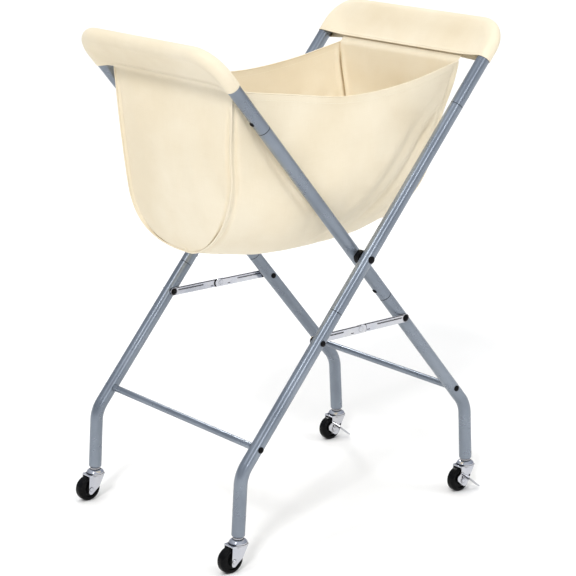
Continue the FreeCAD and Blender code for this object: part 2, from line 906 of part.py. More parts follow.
def caster_fork(frame, side_name):
    """Crown, tail over the wheel and two cheeks, with the swivel axis as its own Z."""
    body = new_body(f"{frame}_fork_{side_name}")
    low = "dims.crown_top - dims.crown_thickness"
    outside = "dims.cheek_inside + dims.cheek_thickness"
    crown = new_sketch(body, "XY_Plane", offset=low)
    circle(crown, "0", "0", "dims.crown_radius")
    pad(body, crown, "dims.crown_thickness")
    tail = new_sketch(body, "XY_Plane", offset=low)
    corner = "dims.tail_corner"
    draw(
        tail,
        [
            ("0", f"-({outside})"),
            ("0", outside),
            (f"{corner} - dims.crown_tail", outside, corner, 1),
            ("-dims.crown_tail", f"{outside} - {corner}"),
            ("-dims.crown_tail", f"{corner} - ({outside})", corner, 1),
            (f"{corner} - dims.crown_tail", f"-({outside})"),
        ],
    )
    pad(body, tail, "dims.crown_thickness")
    # the tip is an arc that starts tip_turn degrees below level, in front, and ends level behind
    front = "dims.cheek_tip * cos(dims.tip_turn) - dims.tip_reach"
    front_height = "dims.tip_height - dims.cheek_tip * sin(dims.tip_turn)"
    near, far = "dims.cheek_inside", f"-({outside})"
    for offset in (near, far):
        cheek = new_sketch(body, "XZ_Plane", offset=offset)
        draw(
            cheek,
            [
                ("dims.cheek_front", f"{low} + dims.crown_thickness / 2"),
                ("dims.knee_reach", "dims.knee_height"),
                (front, front_height, "dims.cheek_tip", -1),
                ("-dims.tip_reach - dims.cheek_tip", "dims.tip_height"),
                ("-dims.cheek_back", f"{low} + dims.crown_thickness / 2"),
            ],
        )
        circle(cheek, "-dims.trail", "dims.wheel_radius", "dims.axle_hole")
        if frame == "inner" and offset == near:
            circle(cheek, "dims.stop_reach", "dims.stop_height", "dims.stop_hole")
        pad(body, cheek, "dims.cheek_thickness")
    bore = new_sketch(body, "XY_Plane")
    circle(bore, "0", "0", "dims.crown_bore")
    pocket(body, bore, back=True)
    body.Placement = Placement(foot_place(frame, SIDES[side_name]), Rotation())
    return keep(body)


def axle_place(frame, side):
    """The middle of the wheel, with a body's Z turned to the near side."""
    spot = foot_place(frame, side) + Vector(-size("trail"), 0, size("wheel_radius"))
    return Placement(spot, Rotation(AXIS_Z, AXIS_Y * -1))


def caster_axle(frame, side_name):
    """A rivet with two heads. It is longer on the near side where it carries a lever."""
    reach = "dims.cheek_inside + dims.cheek_thickness + dims.fit"
    near_reach = reach
    if frame == "inner":
        near_reach = f"{reach} + dims.lever_thickness + dims.lever_boss_height + dims.fit"
    axle = turned(
        f"{frame}_axle_{side_name}",
        [
            ("0", f"-({reach}) - dims.axle_head_height"),
            ("dims.axle_head - dims.axle_head_bevel", f"-({reach}) - dims.axle_head_height"),
            ("dims.axle_head", f"-({reach}) - dims.axle_head_height / 2"),
            ("dims.axle_head", f"-({reach})"),
            ("dims.axle_radius", f"-({reach})"),
            ("dims.axle_radius", near_reach),
            ("dims.axle_head", near_reach),
            ("dims.axle_head", f"{near_reach} + dims.axle_head_height / 2"),
            ("dims.axle_head - dims.axle_head_bevel", f"{near_reach} + dims.axle_head_height"),
            ("0", f"{near_reach} + dims.axle_head_height"),
        ],
    )
    axle.Placement = axle_place(frame, SIDES[side_name])
    return keep(axle)


def caster_wheel(frame, side_name):
    """A moulded wheel with round shoulders, a recessed web and a hub on each face."""
    face = "dims.wheel_half_width"
    flank = "dims.wheel_radius - dims.wheel_shoulder"
    tread = "dims.wheel_half_width - dims.wheel_shoulder"
    wheel = turned(
        f"{frame}_wheel_{side_name}",
        [
            ("dims.wheel_bore", f"-{face}"),
            ("dims.wheel_hub", f"-{face}"),
            ("dims.wheel_hub", "-dims.wheel_web"),
            ("dims.wheel_rim", "-dims.wheel_web"),
            ("dims.wheel_rim", f"-{face}"),
            (flank, f"-{face}", "dims.wheel_shoulder", 1),
            ("dims.wheel_radius", f"-({tread})"),
            ("dims.wheel_radius", tread, "dims.wheel_shoulder", 1),
            (flank, face),
            ("dims.wheel_rim", face),
            ("dims.wheel_rim", "dims.wheel_web"),
            ("dims.wheel_hub", "dims.wheel_web"),
            ("dims.wheel_hub", face),
            ("dims.wheel_bore", face),
        ],
    )
    wheel.Placement = axle_place(frame, SIDES[side_name])
    return keep(wheel)


def brake_lever(side_name):
    """A side plate with a boss round the axle, and a pedal turned out along its upper edge.

    Its own X runs down the pedal, its Z is square to the pedal and its origin is the axle.
    """
    body = new_body(f"brake_lever_{side_name}")
    inside = "dims.cheek_inside + dims.cheek_thickness + dims.fit"
    plate = new_sketch(body, "XZ_Plane", offset=inside)
    radius, reach = "dims.lever_radius", "dims.lever_length"
    edge, start = "dims.pedal_root", "dims.pedal_start"
    draw(
        plate,
        [
            (f"-{start}", edge),
            (f"-{reach}", "0", radius, 1),
            (f"{radius} - {reach}", f"-{radius}"),
            (f"{reach} - {radius}", f"-{radius}", radius, 1),
            (reach, "0"),
            (start, edge),
        ],
    )
    circle(plate, "0", "0", "dims.lever_bore")
    circle(plate, "-dims.lever_hole_back", "dims.lever_hole_rise", "dims.lever_hole")
    pad(body, plate, "dims.lever_thickness")
    boss = new_sketch(body, "XZ_Plane", offset=f"{inside} + dims.lever_thickness")
    circle(boss, "0", "0", "dims.lever_boss")
    circle(boss, "0", "0", "dims.lever_bore")
    pad(body, boss, "dims.lever_boss_height")
    pedal = new_sketch(body, "XY_Plane", offset=edge)
    near = f"-({inside}) - dims.pedal_width"
    corner = "dims.pedal_width / 2"
    draw(
        pedal,
        [
            (f"-{start}", f"-({inside})"),
            (f"-{start}", f"-({inside}) - dims.lever_thickness"),
            ("0", near),
            (f"dims.pedal_reach - {corner}", near, corner, 1),
            ("dims.pedal_reach", f"{near} + {corner}", corner, 1),
            (f"dims.pedal_reach - {corner}", f"-({inside})"),
        ],
    )
    pad(body, pedal, "dims.pedal_thickness")
    slope = math.degrees(math.atan(size("pedal_slope")))
    spot = foot_place("inner", SIDES[side_name])
    spot += Vector(-size("trail"), 0, size("wheel_radius"))
    body.Placement = Placement(spot, Rotation(AXIS_Y, slope))
    return keep(body)


def brake_stop(side_name):
    """The pin that ends a lever's lift, riveted through the near cheek of its fork."""
    stop = domed(
        f"brake_stop_{side_name}",
        "dims.stop_head",
        "dims.stop_head_height",
        "dims.cheek_inside + dims.cheek_thickness + dims.fit",
        "dims.stop_radius",
        "dims.cheek_inside",
    )
    spot = foot_place("inner", SIDES[side_name])
    spot += Vector(size("stop_reach"), 0, size("stop_height"))
    stop.Placement = Placement(spot, Rotation(AXIS_Z, AXIS_Y * -1))
    return keep(stop)


# ---------------------------------------------------------------- canvas


def hoop_outline(frame, margin, foot):
    """The outline of a hoop's outside, grown by a margin, with its open end at foot."""
    reach = f"({FRAMES[frame]['width']} + dims.tube_radius + {margin})"
    crest = f"(dims.tube_radius + {margin})"
    corner = f"(dims.corner_radius + dims.tube_radius + {margin})"
    return [
        (f"-{reach}", foot),
        (f"-{reach}", f"{crest} - {corner}", corner, -1),
        (f"{corner} - {reach}", crest),
        (f"{reach} - {corner}", crest, corner, -1),
        (reach, f"{crest} - {corner}"),
        (reach, foot),
    ]


def sleeve(frame):
    """The canvas pocket that slips down over a top bow, open along its lower edge."""
    body = new_body(f"{frame}_sleeve")
    skin = "(dims.sleeve_clearance + dims.canvas)"
    outside = new_sketch(body, "YZ_Plane")
    draw(outside, hoop_outline(frame, skin, f"-{SLEEVE_DROP}"))
    pad(body, outside, f"2 * (dims.tube_radius + {skin})", both=True)
    inside = new_sketch(body, "YZ_Plane")
    draw(inside, hoop_outline(frame, "dims.sleeve_clearance", f"-{SLEEVE_DROP} - dims.canvas"))
    pocket(body, inside, length="2 * (dims.tube_radius + dims.sleeve_clearance)", both=True)
    body.Placement = bow_place(frame)
    return keep(body)


def bag_section(body, wide, offset):
    """One U-shaped section of the long panel, square to X."""
    floor, corner, thick = "dims.bag_floor", "dims.bag_corner", "dims.canvas"
    section = new_sketch(body, "YZ_Plane", offset=offset)
    draw(
        section,
        [
            (f"-{wide}", "dims.rim_height"),
            (f"-{wide}", f"{floor} + {corner}", corner, 1),
            (f"{corner} - {wide}", floor),
            (f"{wide} - {corner}", floor, corner, 1),
            (wide, f"{floor} + {corner}"),
            (wide, "dims.rim_height"),
            (f"{wide} - {thick}", "dims.rim_height"),
            (f"{wide} - {thick}", f"{floor} + {corner}", f"{corner} - {thick}", -1),
            (f"{wide} - {corner}", f"{floor} + {thick}"),
            (f"{corner} - {wide}", f"{floor} + {thick}", f"{corner} - {thick}", -1),
            (f"{thick} - {wide}", f"{floor} + {corner}"),
            (f"{thick} - {wide}", "dims.rim_height"),
        ],
    )
    return section


def bag_panel():
    """The long panel of the bag: near side, floor and far side, with a sagging rim.

    It is a little narrower at the outer frame's end.
    """
    body = new_body("bag_panel")
    loft_start = bag_section(body, "dims.bag_inner_end", "-dims.end_top_reach")
    loft_end = bag_section(body, "dims.bag_outer_end", "dims.end_top_reach")
    loft = body.newObject("PartDesign::AdditiveLoft", f"{body.Name}_loft")
    loft.Profile = loft_start
    loft.Sections = [loft_end]
    loft.Ruled = True
    body.Tip = loft
    floor, thick = "dims.bag_floor", "dims.canvas"
    trim = new_sketch(body, "XZ_Plane")
    margin = "dims.bag_corner"
    sag = "(dims.end_top_reach^2 + dims.rim_sag^2) / (2 * dims.rim_sag)"
    draw(
        trim,
        [
            ("-dims.end_top_reach", "dims.rim_height", sag, 1),
            ("dims.end_top_reach", "dims.rim_height"),
            ("dims.end_floor_reach", f"{floor} - {thick}"),
            ("-dims.end_floor_reach", f"{floor} - {thick}"),
        ],
    )
    draw(
        trim,
        [
            (f"-dims.end_top_reach - {margin}", f"{floor} - {margin}"),
            (f"dims.end_top_reach + {margin}", f"{floor} - {margin}"),
            (f"dims.end_top_reach + {margin}", f"dims.rim_height + {margin}"),
            (f"-dims.end_top_reach - {margin}", f"dims.rim_height + {margin}"),
        ],
    )
    pocket(body, trim, both=True)
    return keep(body)


def bag_end(frame):
    """A U-shaped end panel, hung from the sleeve's lower edge and leaning in below."""
    body = new_body(f"{frame}_bag_end")
    gap = "(dims.canvas + dims.end_inset)"
    # the long panel narrows towards +X, so each end fits it where it is narrowest
    taper = "(dims.bag_inner_end - dims.bag_outer_end) / (2 * dims.end_top_reach)"
    inset = f"{taper} * (dims.end_top_reach - dims.end_floor_reach)"
    widths = {"inner": f"dims.bag_inner_end - {inset}", "outer": "dims.bag_outer_end"}
    wide = f"({widths[frame]} - {gap})"
    corner = f"(dims.bag_corner - {gap})"
    top = "(dims.end_top - dims.bag_floor)"
    sketch = new_sketch(body, "YZ_Plane")
    draw(
        sketch,
        [
            (f"-{wide}", top),
            (f"-{wide}", f"{gap} + {corner}", corner, 1),
            (f"{corner} - {wide}", gap),
            (f"{wide} - {corner}", gap, corner, 1),
            (wide, f"{gap} + {corner}"),
            (wide, top),
        ],
    )
    pad(body, sketch, "dims.canvas")
    spread = size("end_top_reach") - size("end_floor_reach")
    tilt = math.degrees(math.atan(spread / (size("rim_height") - size("bag_floor"))))
    side = -1 if frame == "inner" else 1
    clear = size("canvas") + size("end_inset")
    base = Vector(side * (size("end_floor_reach") - clear), 0, size("bag_floor"))
    turn = Rotation(AXIS_Y, side * tilt)
    if frame == "outer":
        base.x -= size("canvas")
    body.Placement = Placement(base, turn)
    return keep(body)


# ---------------------------------------------------------------- the whole cart


def check(parts):
    """Stops the macro if anything failed to compute or is not a valid solid."""
    failed = [
        item.Name
        for item in doc.Objects
        if "Invalid" in item.State or "Error" in item.State
    ]
    if failed:
        raise RuntimeError(f"objects failed: {', '.join(failed)}")
    for part in parts:
        shape = part.Shape
        if shape.isNull() or not shape.isValid() or not shape.Solids:
            raise RuntimeError(f"{part.Label} has no valid solid")


for frame_name in FRAMES:
    top_bow(frame_name)
    crossbar(frame_name)
    joint_screws(frame_name)
    crossbar_bolts(frame_name)
    pivot_saddles(frame_name)
    brace_spacers(frame_name)
    brace_bolts(frame_name)
    brace_caps(frame_name)
    caster_stems(frame_name)
    sleeve(frame_name)
    bag_end(frame_name)
    for name in SIDES:
        side_tube(frame_name, name)
        leg(frame_name, name)
        brace_strip(frame_name, name)
        brace_rivet(frame_name, name)
        caster_fork(frame_name, name)
        caster_axle(frame_name, name)
        caster_wheel(frame_name, name)
for name in SIDES:
    brake_lever(name)
    brake_stop(name)
pivot_bolts()
pivot_nuts()
bag_panel()

doc.recompute()
check(SUB_PARTS)
os.makedirs("parts", exist_ok=True)
for sub_part in SUB_PARTS:
    sub_part.Shape.exportStep(os.path.join("parts", f"{sub_part.Label}.step"))
print(f"{len(SUB_PARTS)} parts written")
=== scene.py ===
"""Looks of the folding laundry cart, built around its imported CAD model.

Metres, in the model's own frame: +Z up, the origin on the floor under the scissor pivots,
the outer frame's top bar at +X, the near side at -Y.
"""

import json
import math

import bmesh
import bpy
import numpy as np
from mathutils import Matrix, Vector, noise


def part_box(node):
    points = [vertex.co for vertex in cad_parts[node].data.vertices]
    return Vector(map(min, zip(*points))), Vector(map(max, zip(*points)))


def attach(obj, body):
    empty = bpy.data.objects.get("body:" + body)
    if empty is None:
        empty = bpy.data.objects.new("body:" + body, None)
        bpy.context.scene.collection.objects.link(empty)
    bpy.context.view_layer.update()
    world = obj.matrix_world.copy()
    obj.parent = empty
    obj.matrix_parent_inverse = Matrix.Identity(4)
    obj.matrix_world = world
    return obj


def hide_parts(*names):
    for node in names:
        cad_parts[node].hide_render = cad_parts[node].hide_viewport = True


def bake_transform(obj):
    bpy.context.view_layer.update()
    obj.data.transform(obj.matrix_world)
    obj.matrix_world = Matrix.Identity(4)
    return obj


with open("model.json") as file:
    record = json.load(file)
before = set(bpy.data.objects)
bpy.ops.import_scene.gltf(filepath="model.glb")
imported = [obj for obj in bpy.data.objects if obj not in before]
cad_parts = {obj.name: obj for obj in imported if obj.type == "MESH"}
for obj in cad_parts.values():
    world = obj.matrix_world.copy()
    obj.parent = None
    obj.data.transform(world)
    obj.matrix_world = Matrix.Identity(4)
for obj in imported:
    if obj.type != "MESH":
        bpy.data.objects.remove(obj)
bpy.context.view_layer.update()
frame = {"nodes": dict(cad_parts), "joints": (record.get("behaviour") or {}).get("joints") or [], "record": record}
NODES = frame["nodes"]
MM = 0.001


# ---------------------------------------------------------------- materials


class Graph:
    """Short calls that build the nodes of a material or of the world."""

    def __init__(self, owner):
        owner.use_nodes = True
        self.owner = owner
        self.tree = owner.node_tree

    def add(self, kind, values=None, **settings):
        """Adds a node. Values go to its inputs by name or number, sockets are linked."""
        node = self.tree.nodes.new(kind)
        for key, setting in settings.items():
            setattr(node, key, setting)
        for key, entry in (values or {}).items():
            self.feed(node, key, entry)
        return node

    def feed(self, node, key, entry):
        if isinstance(entry, bpy.types.NodeSocket):
            self.tree.links.new(entry, node.inputs[key])
        else:
            node.inputs[key].default_value = entry

    def surface(self, **values):
        for key, entry in values.items():
            self.feed(self.tree.nodes["Principled BSDF"], key.replace("_", " "), entry)
        return self.owner

    def math(self, operation, *entries):
        return self.add("ShaderNodeMath", dict(enumerate(entries)), operation=operation).outputs[0]

    def weighted(self, *pairs):
        """The sum of two entries, each times its weight."""
        return self.math("ADD", *[self.math("MULTIPLY", entry, weight) for entry, weight in pairs])

    def noise(self, coordinates, scale, detail):
        values = {"Vector": coordinates, "Scale": scale, "Detail": detail, "Roughness": 0.55}
        return self.add("ShaderNodeTexNoise", values).outputs["Fac"]

    def stretched(self, coordinates, factors):
        return self.add("ShaderNodeMapping", {"Vector": coordinates, "Scale": factors}).outputs[0]

    def spread(self, entry, low, high, start=0.3, end=0.7):
        """Maps a value from start..end to low..high."""
        values = {0: entry, 1: start, 2: end, 3: low, 4: high}
        return self.add("ShaderNodeMapRange", values).outputs[0]

    def colours(self, entry, *stops):
        """A colour ramp through (place, colour) stops."""
        ramp = self.add("ShaderNodeValToRGB", {0: entry})
        elements = ramp.color_ramp.elements
        while len(elements) < len(stops):
            elements.new(0.5)
        for element, (place, colour) in zip(elements, stops):
            element.position = place
            element.color = (*colour, 1.0)
        return ramp.outputs[0]

    def bump(self, height, distance, strength, normal=None):
        values = {"Height": height, "Distance": distance, "Strength": strength}
        if normal is not None:
            values["Normal"] = normal
        return self.add("ShaderNodeBump", values).outputs[0]

    def place(self):
        return self.add("ShaderNodeTexCoord").outputs["Object"]

    def uv(self):
        return self.add("ShaderNodeTexCoord").outputs["UV"]

    def painted_crevice_shade(self, colour, shade_colour, reach, start=0.4, end=0.8, samples=6):
        """The colour, darkened to a painted shade colour in joints, seams and grooves narrower than the reach,
        where real shade would fall.

        The painted shade is full where the open share is below start, and gone where it is above end.
        """
        # painted shade: ambient occlusion turns the colour dark where little light reaches
        opening = self.add("ShaderNodeAmbientOcclusion", {"Distance": reach}, samples=samples)
        open_share = opening.outputs["AO"]
        hidden = self.spread(open_share, 1.0, 0.0, start, end)
        return self.mixed(hidden, colour, (*shade_colour, 1.0))

    def mixed(self, share, first, second):
        """A blend of two colours."""
        values = {0: share, 6: first, 7: second}
        return self.add("ShaderNodeMix", values, data_type="RGBA").outputs[2]

    def ray(self, kind):
        """1 for rays of a kind, such as Glossy or Camera, and 0 for others."""
        return self.add("ShaderNodeLightPath").outputs[f"Is {kind} Ray"]


def new_material(name):
    return Graph(bpy.data.materials.new(name))


def canvas_material(light, deep):
    """Plain-woven cotton. Its weave runs along the cloth's own UV axes, in metres."""
    g = new_material("canvas")
    cloth = g.uv()
    axes = g.add("ShaderNodeSeparateXYZ", {0: cloth}).outputs
    thread_pair = 1.1 * MM
    turns = 2 * math.pi / thread_pair
    waves = [g.math("SINE", g.math("MULTIPLY", axis, turns)) for axis in axes[:2]]
    weave = g.math("MULTIPLY", *waves)
    across, along = 900.0, 28.0
    slubs = g.math(
        "ADD",
        g.noise(g.stretched(cloth, (across, along, 1.0)), scale=1.0, detail=2.0),
        g.noise(g.stretched(cloth, (along, across, 1.0)), scale=1.0, detail=2.0),
    )
    mottle = g.noise(g.place(), scale=7.0, detail=4.0)
    tone = g.weighted((mottle, 0.75), (slubs, 0.125))
    colour = g.colours(tone, (0.38, deep), (0.62, light))
    waviness = g.noise(g.place(), scale=60.0, detail=2.0)
    soft = g.bump(waviness, distance=0.6 * MM, strength=0.35)
    threads = g.math("ADD", weave, slubs)
    return g.surface(
        Normal=g.bump(threads, distance=0.2 * MM, strength=0.45, normal=soft),
        # Base_Color carries painted shade: darker, yellower cloth in seams, tucks and under hems, where shade
        # falls
        Base_Color=g.painted_crevice_shade(colour, (0.50, 0.38, 0.21), reach=5 * MM, start=0.22, end=0.62),
        Roughness=g.spread(slubs, 0.82, 0.95, start=0.7, end=1.3),
        Sheen_Weight=0.12,
        Sheen_Roughness=0.6,
        Specular_IOR_Level=0.2,
    )


def thread_material():
    """Twisted sewing thread, a little lighter than the cloth."""
    g = new_material("thread")
    values = {"Vector": g.place(), "Scale": 900.0, "Distortion": 2.0}
    twist = g.add("ShaderNodeTexWave", values).outputs[0]
    colour = g.colours(twist, (0.0, (0.82, 0.75, 0.58)), (1.0, (0.93, 0.88, 0.74)))
    normal = g.bump(twist, distance=0.1 * MM, strength=0.5)
    return g.surface(Base_Color=colour, Roughness=0.7, Normal=normal, Sheen_Weight=0.2)


def paint_material():
    """Silver-grey powder coat with metal flake, slightly orange-peeled."""
    g = new_material("silver_paint")
    spot = g.place()
    flake = g.noise(spot, scale=800.0, detail=1.0)
    drift = g.noise(spot, scale=9.0, detail=3.0)
    colour = g.colours(
        g.weighted((flake, 0.12), (drift, 0.88)),
        (0.35, (0.250, 0.286, 0.342)),
        (0.5, (0.285, 0.326, 0.386)),
        (0.66, (0.335, 0.378, 0.440)),
    )
    scuffs = g.noise(g.stretched(spot, (25.0, 25.0, 35.0)), scale=1.0, detail=3.0)
    peel = g.noise(spot, scale=650.0, detail=1.0)
    return g.surface(
        Normal=g.bump(peel, distance=0.005 * MM, strength=0.1),
        # Base_Color carries painted shade: near black in the gaps between tubes and where parts touch
        Base_Color=g.painted_crevice_shade(colour, (0.012, 0.013, 0.015), reach=2.2 * MM),
        Roughness=g.spread(scuffs, 0.26, 0.31),
        Metallic=0.75,
        Coat_Weight=0.3,
        Coat_Roughness=0.14,
    )


def zinc_material(name, **shading):
    """Bright zinc plate with faint passivation tints and handling scuffs."""
    g = new_material(name)
    spot = g.place()
    colour = g.colours(
        g.noise(spot, scale=45.0, detail=3.0),
        (0.3, (0.76, 0.78, 0.86)),
        (0.5, (0.82, 0.83, 0.89)),
        (0.7, (0.88, 0.88, 0.91)),
    )
    scuffs = g.noise(g.stretched(spot, (500.0, 90.0, 90.0)), scale=1.0, detail=3.0)
    return g.surface(
        Normal=g.bump(scuffs, distance=0.05 * MM, strength=0.4),
        # Base_Color carries painted shade: near black in grooves and tight corners
        Base_Color=g.painted_crevice_shade(colour, (0.03, 0.026, 0.026), reach=3.5 * MM, **shading),
        Roughness=g.spread(scuffs, 0.14, 0.26),
        Metallic=1.0,
    )


def plastic_material(name, shade, roughness, grain):
    """Deep black moulded plastic or blackened steel with a fine grain."""
    g = new_material(name)
    spot = g.place()
    pale = 1.8 * shade
    colour = g.colours(
        g.noise(spot, scale=35.0, detail=3.0),
        (0.35, (shade, shade, shade * 1.1)),
        (0.65, (pale, pale, shade * 2.1)),
    )
    grains = g.noise(spot, scale=grain, detail=2.0)
    wear = g.noise(spot, scale=120.0, detail=3.0)
    return g.surface(
        Normal=g.bump(grains, distance=0.08 * MM, strength=0.35),
        Base_Color=colour,
        Roughness=g.spread(wear, roughness, roughness + 0.14),
        Specular_IOR_Level=0.13,
    )


def floor_material():
    """White paper. Reflections see it darker, so that bright metal keeps its contrast."""
    g = new_material("floor")
    shade = g.spread(g.noise(g.place(), scale=1.5, detail=2.0), 0.91, 0.93)
    dimming = g.spread(g.ray("Glossy"), 1.0, 0.66, start=0.0, end=1.0)
    dimmed = g.math("MULTIPLY", shade, dimming)
    return g.surface(Base_Color=dimmed, Roughness=0.9, Specular_IOR_Level=0.1)


CANVAS = canvas_material(light=(0.850, 0.765, 0.600), deep=(0.790, 0.690, 0.510))
THREAD = thread_material()
# the brace strips take a stronger painted shade, so their shallow grooves read as dark lines
GROOVED_ZINC = zinc_material("grooved_zinc", start=0.90, end=0.97, samples=16)
BY_SLOT = {
    "silver_paint": paint_material(),
    "bright_zinc": zinc_material("bright_zinc", start=0.62, end=0.96),
    "black_fittings": plastic_material("black_fittings", shade=0.003, roughness=0.38, grain=900.0),
    "wheel_black": plastic_material("wheel_black", shade=0.0022, roughness=0.12, grain=500.0),
    "canvas": CANVAS,
}


def paint_cad_nodes():
    for part in frame["record"]["subparts"]:
        node = NODES[part["node"]]
        node.data.materials.clear()
        grooved = "brace_strip" in part["node"]
        node.data.materials.append(GROOVED_ZINC if grooved else BY_SLOT[part["material_slot"]])


paint_cad_nodes()


# ---------------------------------------------------------------- mesh helpers


def new_piece(name, points, faces, material, uvs=None):
    """A smooth mesh piece of cloth or thread. The UVs, if any, are one pair a point."""
    mesh = bpy.data.meshes.new(name)
    mesh.from_pydata([tuple(p) for p in points], [], faces)
    mesh.polygons.foreach_set("use_smooth", [True] * len(mesh.polygons))
    if uvs is not None:
        layer = mesh.uv_layers.new(name="cloth")
        corners = np.zeros(len(mesh.loops), np.int32)
        mesh.loops.foreach_get("vertex_index", corners)
        layer.data.foreach_set("uv", np.asarray(uvs, np.float32)[corners].ravel())
    mesh.materials.append(material)
    mesh.update()
    piece = bpy.data.objects.new(name, mesh)
    bpy.context.scene.collection.objects.link(piece)
    return piece


def grid_faces(rows, columns, closed=False, flip=False):
    """Quads of a rows x columns grid of points, whose columns may close on themselves."""
    faces = []
    for r in range(rows - 1):
        for c in range(columns if closed else columns - 1):
            n = (c + 1) % columns
            face = (r * columns + c, r * columns + n, (r + 1) * columns + n, (r + 1) * columns + c)
            faces.append(face[::-1] if flip else face)
    return faces


def grid_lengths(points):
    """UVs in metres along the rows and columns of a (rows, columns, 3) grid."""
    across = np.linalg.norm(np.diff(points, axis=1), axis=2)
    down = np.linalg.norm(np.diff(points, axis=0), axis=2)
    u = np.concatenate([np.zeros((points.shape[0], 1)), np.cumsum(across, axis=1)], axis=1)
    v = np.concatenate([np.zeros((1, points.shape[1])), np.cumsum(down, axis=0)], axis=0)
    return np.stack([u - u.mean(axis=1, keepdims=True), v], axis=-1).reshape(-1, 2)


def grid_normals(points):
    rows = np.gradient(points, axis=0)
    columns = np.gradient(points, axis=1)
    normals = np.cross(columns, rows)
    return normals / np.maximum(np.linalg.norm(normals, axis=2, keepdims=True), 1e-12)


def run_along(path):
    """Each point's distance from the start of a path."""
    steps = np.linalg.norm(np.diff(path, axis=0), axis=1)
    return np.concatenate([[0.0], np.cumsum(steps)])


def at_run(wanted, run, path):
    """The point, or points, of a path at a distance from its start."""
    return np.stack([np.interp(wanted, run, path[:, k]) for k in range(path.shape[1])], axis=-1)


def smoothstep(value, start, end):
    t = np.clip((np.asarray(value, float) - start) / (end - start), 0.0, 1.0)
    return t * t * (3 - 2 * t)


def window(value, rise_start, rise_end, fall_start, fall_end):
    """0, then 1 from rise_end to fall_start, then 0 again."""
    return smoothstep(value, rise_start, rise_end) * (1 - smoothstep(value, fall_start, fall_end))


def gaussian(value, centre, width):
    return np.exp(-(((value - centre) / width) ** 2))


def fractal(points, scale, seed, octaves):
    """Smooth noise in about -1..1 at each point, with features about 1/scale apart."""
    flat = points.reshape(-1, 3) * scale + seed
    dimension, lacunarity = 1.0, 2.1
    found = [noise.fractal(Vector(p), dimension, lacunarity, octaves) for p in flat]
    return np.array(found).reshape(points.shape[:-1])


def rumples(points, coarse, fine):
    """Two layers of noise, each a dict of scale, seed, octaves and height in millimetres."""
    total = 0.0
    for layer in (coarse, fine):
        shape = fractal(points, layer["scale"], layer["seed"], layer["octaves"])
        total = total + shape * layer["height"] * MM
    return total


def thicken(piece, thickness, offset):
    modifier = piece.modifiers.new("thickness", "SOLIDIFY")
    modifier.thickness = thickness
    modifier.offset = offset


def subdivide(piece):
    modifier = piece.modifiers.new("smooth", "SUBSURF")
    modifier.levels = 1
    modifier.render_levels = 1


def apply_modifiers(piece):
    graph = bpy.context.evaluated_depsgraph_get()
    mesh = bpy.data.meshes.new_from_object(piece.evaluated_get(graph))
    piece.modifiers.clear()
    piece.data = mesh
    mesh.polygons.foreach_set("use_smooth", [True] * len(mesh.polygons))


def path_frames(path):
    """Tangents and two steady side directions along a path of points."""
    tangents = np.gradient(path, axis=0)
    tangents /= np.linalg.norm(tangents, axis=1, keepdims=True)
    along_no_path = (0.31, 0.17, 0.93)
    side = np.cross(tangents[0], along_no_path)
    sides = []
    for tangent in tangents:
        side = side - tangent * (side @ tangent)
        side /= np.linalg.norm(side)
        sides.append(side)
    sides = np.array(sides)
    return tangents, sides, np.cross(tangents, sides)


CORD_CAP = [(-1.0, 0.05), (-0.8, 0.6), (-0.4, 0.92)]  # (place beyond the end, size) in radii
CORD_AROUND = 10


def cord_piece(name, path, radius):
    """A round cord of canvas along a path, with rounded ends."""
    tangents, sides, ups = path_frames(path)
    last = len(path) - 1
    rings = [(path[0] + tangents[0] * radius * back, radius * size, 0) for back, size in CORD_CAP]
    rings += [(point, radius, i) for i, point in enumerate(path)]
    rings += [
        (path[-1] - tangents[-1] * radius * back, radius * size, last)
        for back, size in reversed(CORD_CAP)
    ]
    angles = np.linspace(0, 2 * math.pi, CORD_AROUND, endpoint=False)
    points, uvs, run = [], [], 0.0
    for k, (centre, size, i) in enumerate(rings):
        run += np.linalg.norm(centre - rings[k - 1][0]) if k else 0.0
        for a in angles:
            points.append(centre + (sides[i] * math.cos(a) + ups[i] * math.sin(a)) * size)
            uvs.append((run, a * radius))
    faces = grid_faces(len(rings), CORD_AROUND, closed=True)
    faces.append(tuple(reversed(range(CORD_AROUND))))
    faces.append(tuple(range((len(rings) - 1) * CORD_AROUND, len(rings) * CORD_AROUND)))
    return new_piece(name, points, faces, CANVAS, uvs)


def resampled(path, step):
    """The same path with points an equal step apart."""
    run = run_along(path)
    count = max(2, int(round(run[-1] / step)) + 1)
    return at_run(np.linspace(0, run[-1], count), run, path)


STITCH_PITCH = 3.6 * MM
STITCH_LENGTH = 2.6 * MM
STITCH_RADIUS = 0.33 * MM
STITCH_AROUND = 6
STITCH_PROFILE = [(-0.5, 0.25), (-0.32, 0.85), (0.0, 1.0), (0.32, 0.85), (0.5, 0.25)]
STITCH_LIFT = 0.1 * MM


def stitch_row(name, path, normals):
    """A row of short raised stitches along a path that lies on the cloth."""
    points, faces = [], []
    run = run_along(path)
    angles = [2 * math.pi * k / STITCH_AROUND for k in range(STITCH_AROUND)]
    for spot in np.arange(STITCH_PITCH, run[-1] - STITCH_PITCH, STITCH_PITCH):
        start, end = (at_run(spot + d, run, path) for d in (-STITCH_LENGTH / 2, STITCH_LENGTH / 2))
        along = (end - start) / max(np.linalg.norm(end - start), 1e-9)
        side = np.cross(at_run(spot, run, normals), along)
        side /= max(np.linalg.norm(side), 1e-9)
        normal = np.cross(along, side)
        centre = (start + end) / 2
        base = len(points)
        for place, share in STITCH_PROFILE:
            for a in angles:
                offset = (side * math.cos(a) + normal * math.sin(a)) * STITCH_RADIUS * share
                points.append(centre + along * STITCH_LENGTH * place + offset)
        for face in grid_faces(len(STITCH_PROFILE), STITCH_AROUND, closed=True):
            faces.append(tuple(base + i for i in face))
        faces.append(tuple(base + i for i in reversed(range(STITCH_AROUND))))
        last = base + (len(STITCH_PROFILE) - 1) * STITCH_AROUND
        faces.append(tuple(last + i for i in range(STITCH_AROUND)))
    return new_piece(name, points, faces, THREAD)


# ---------------------------------------------------------------- sleeves over the top bows

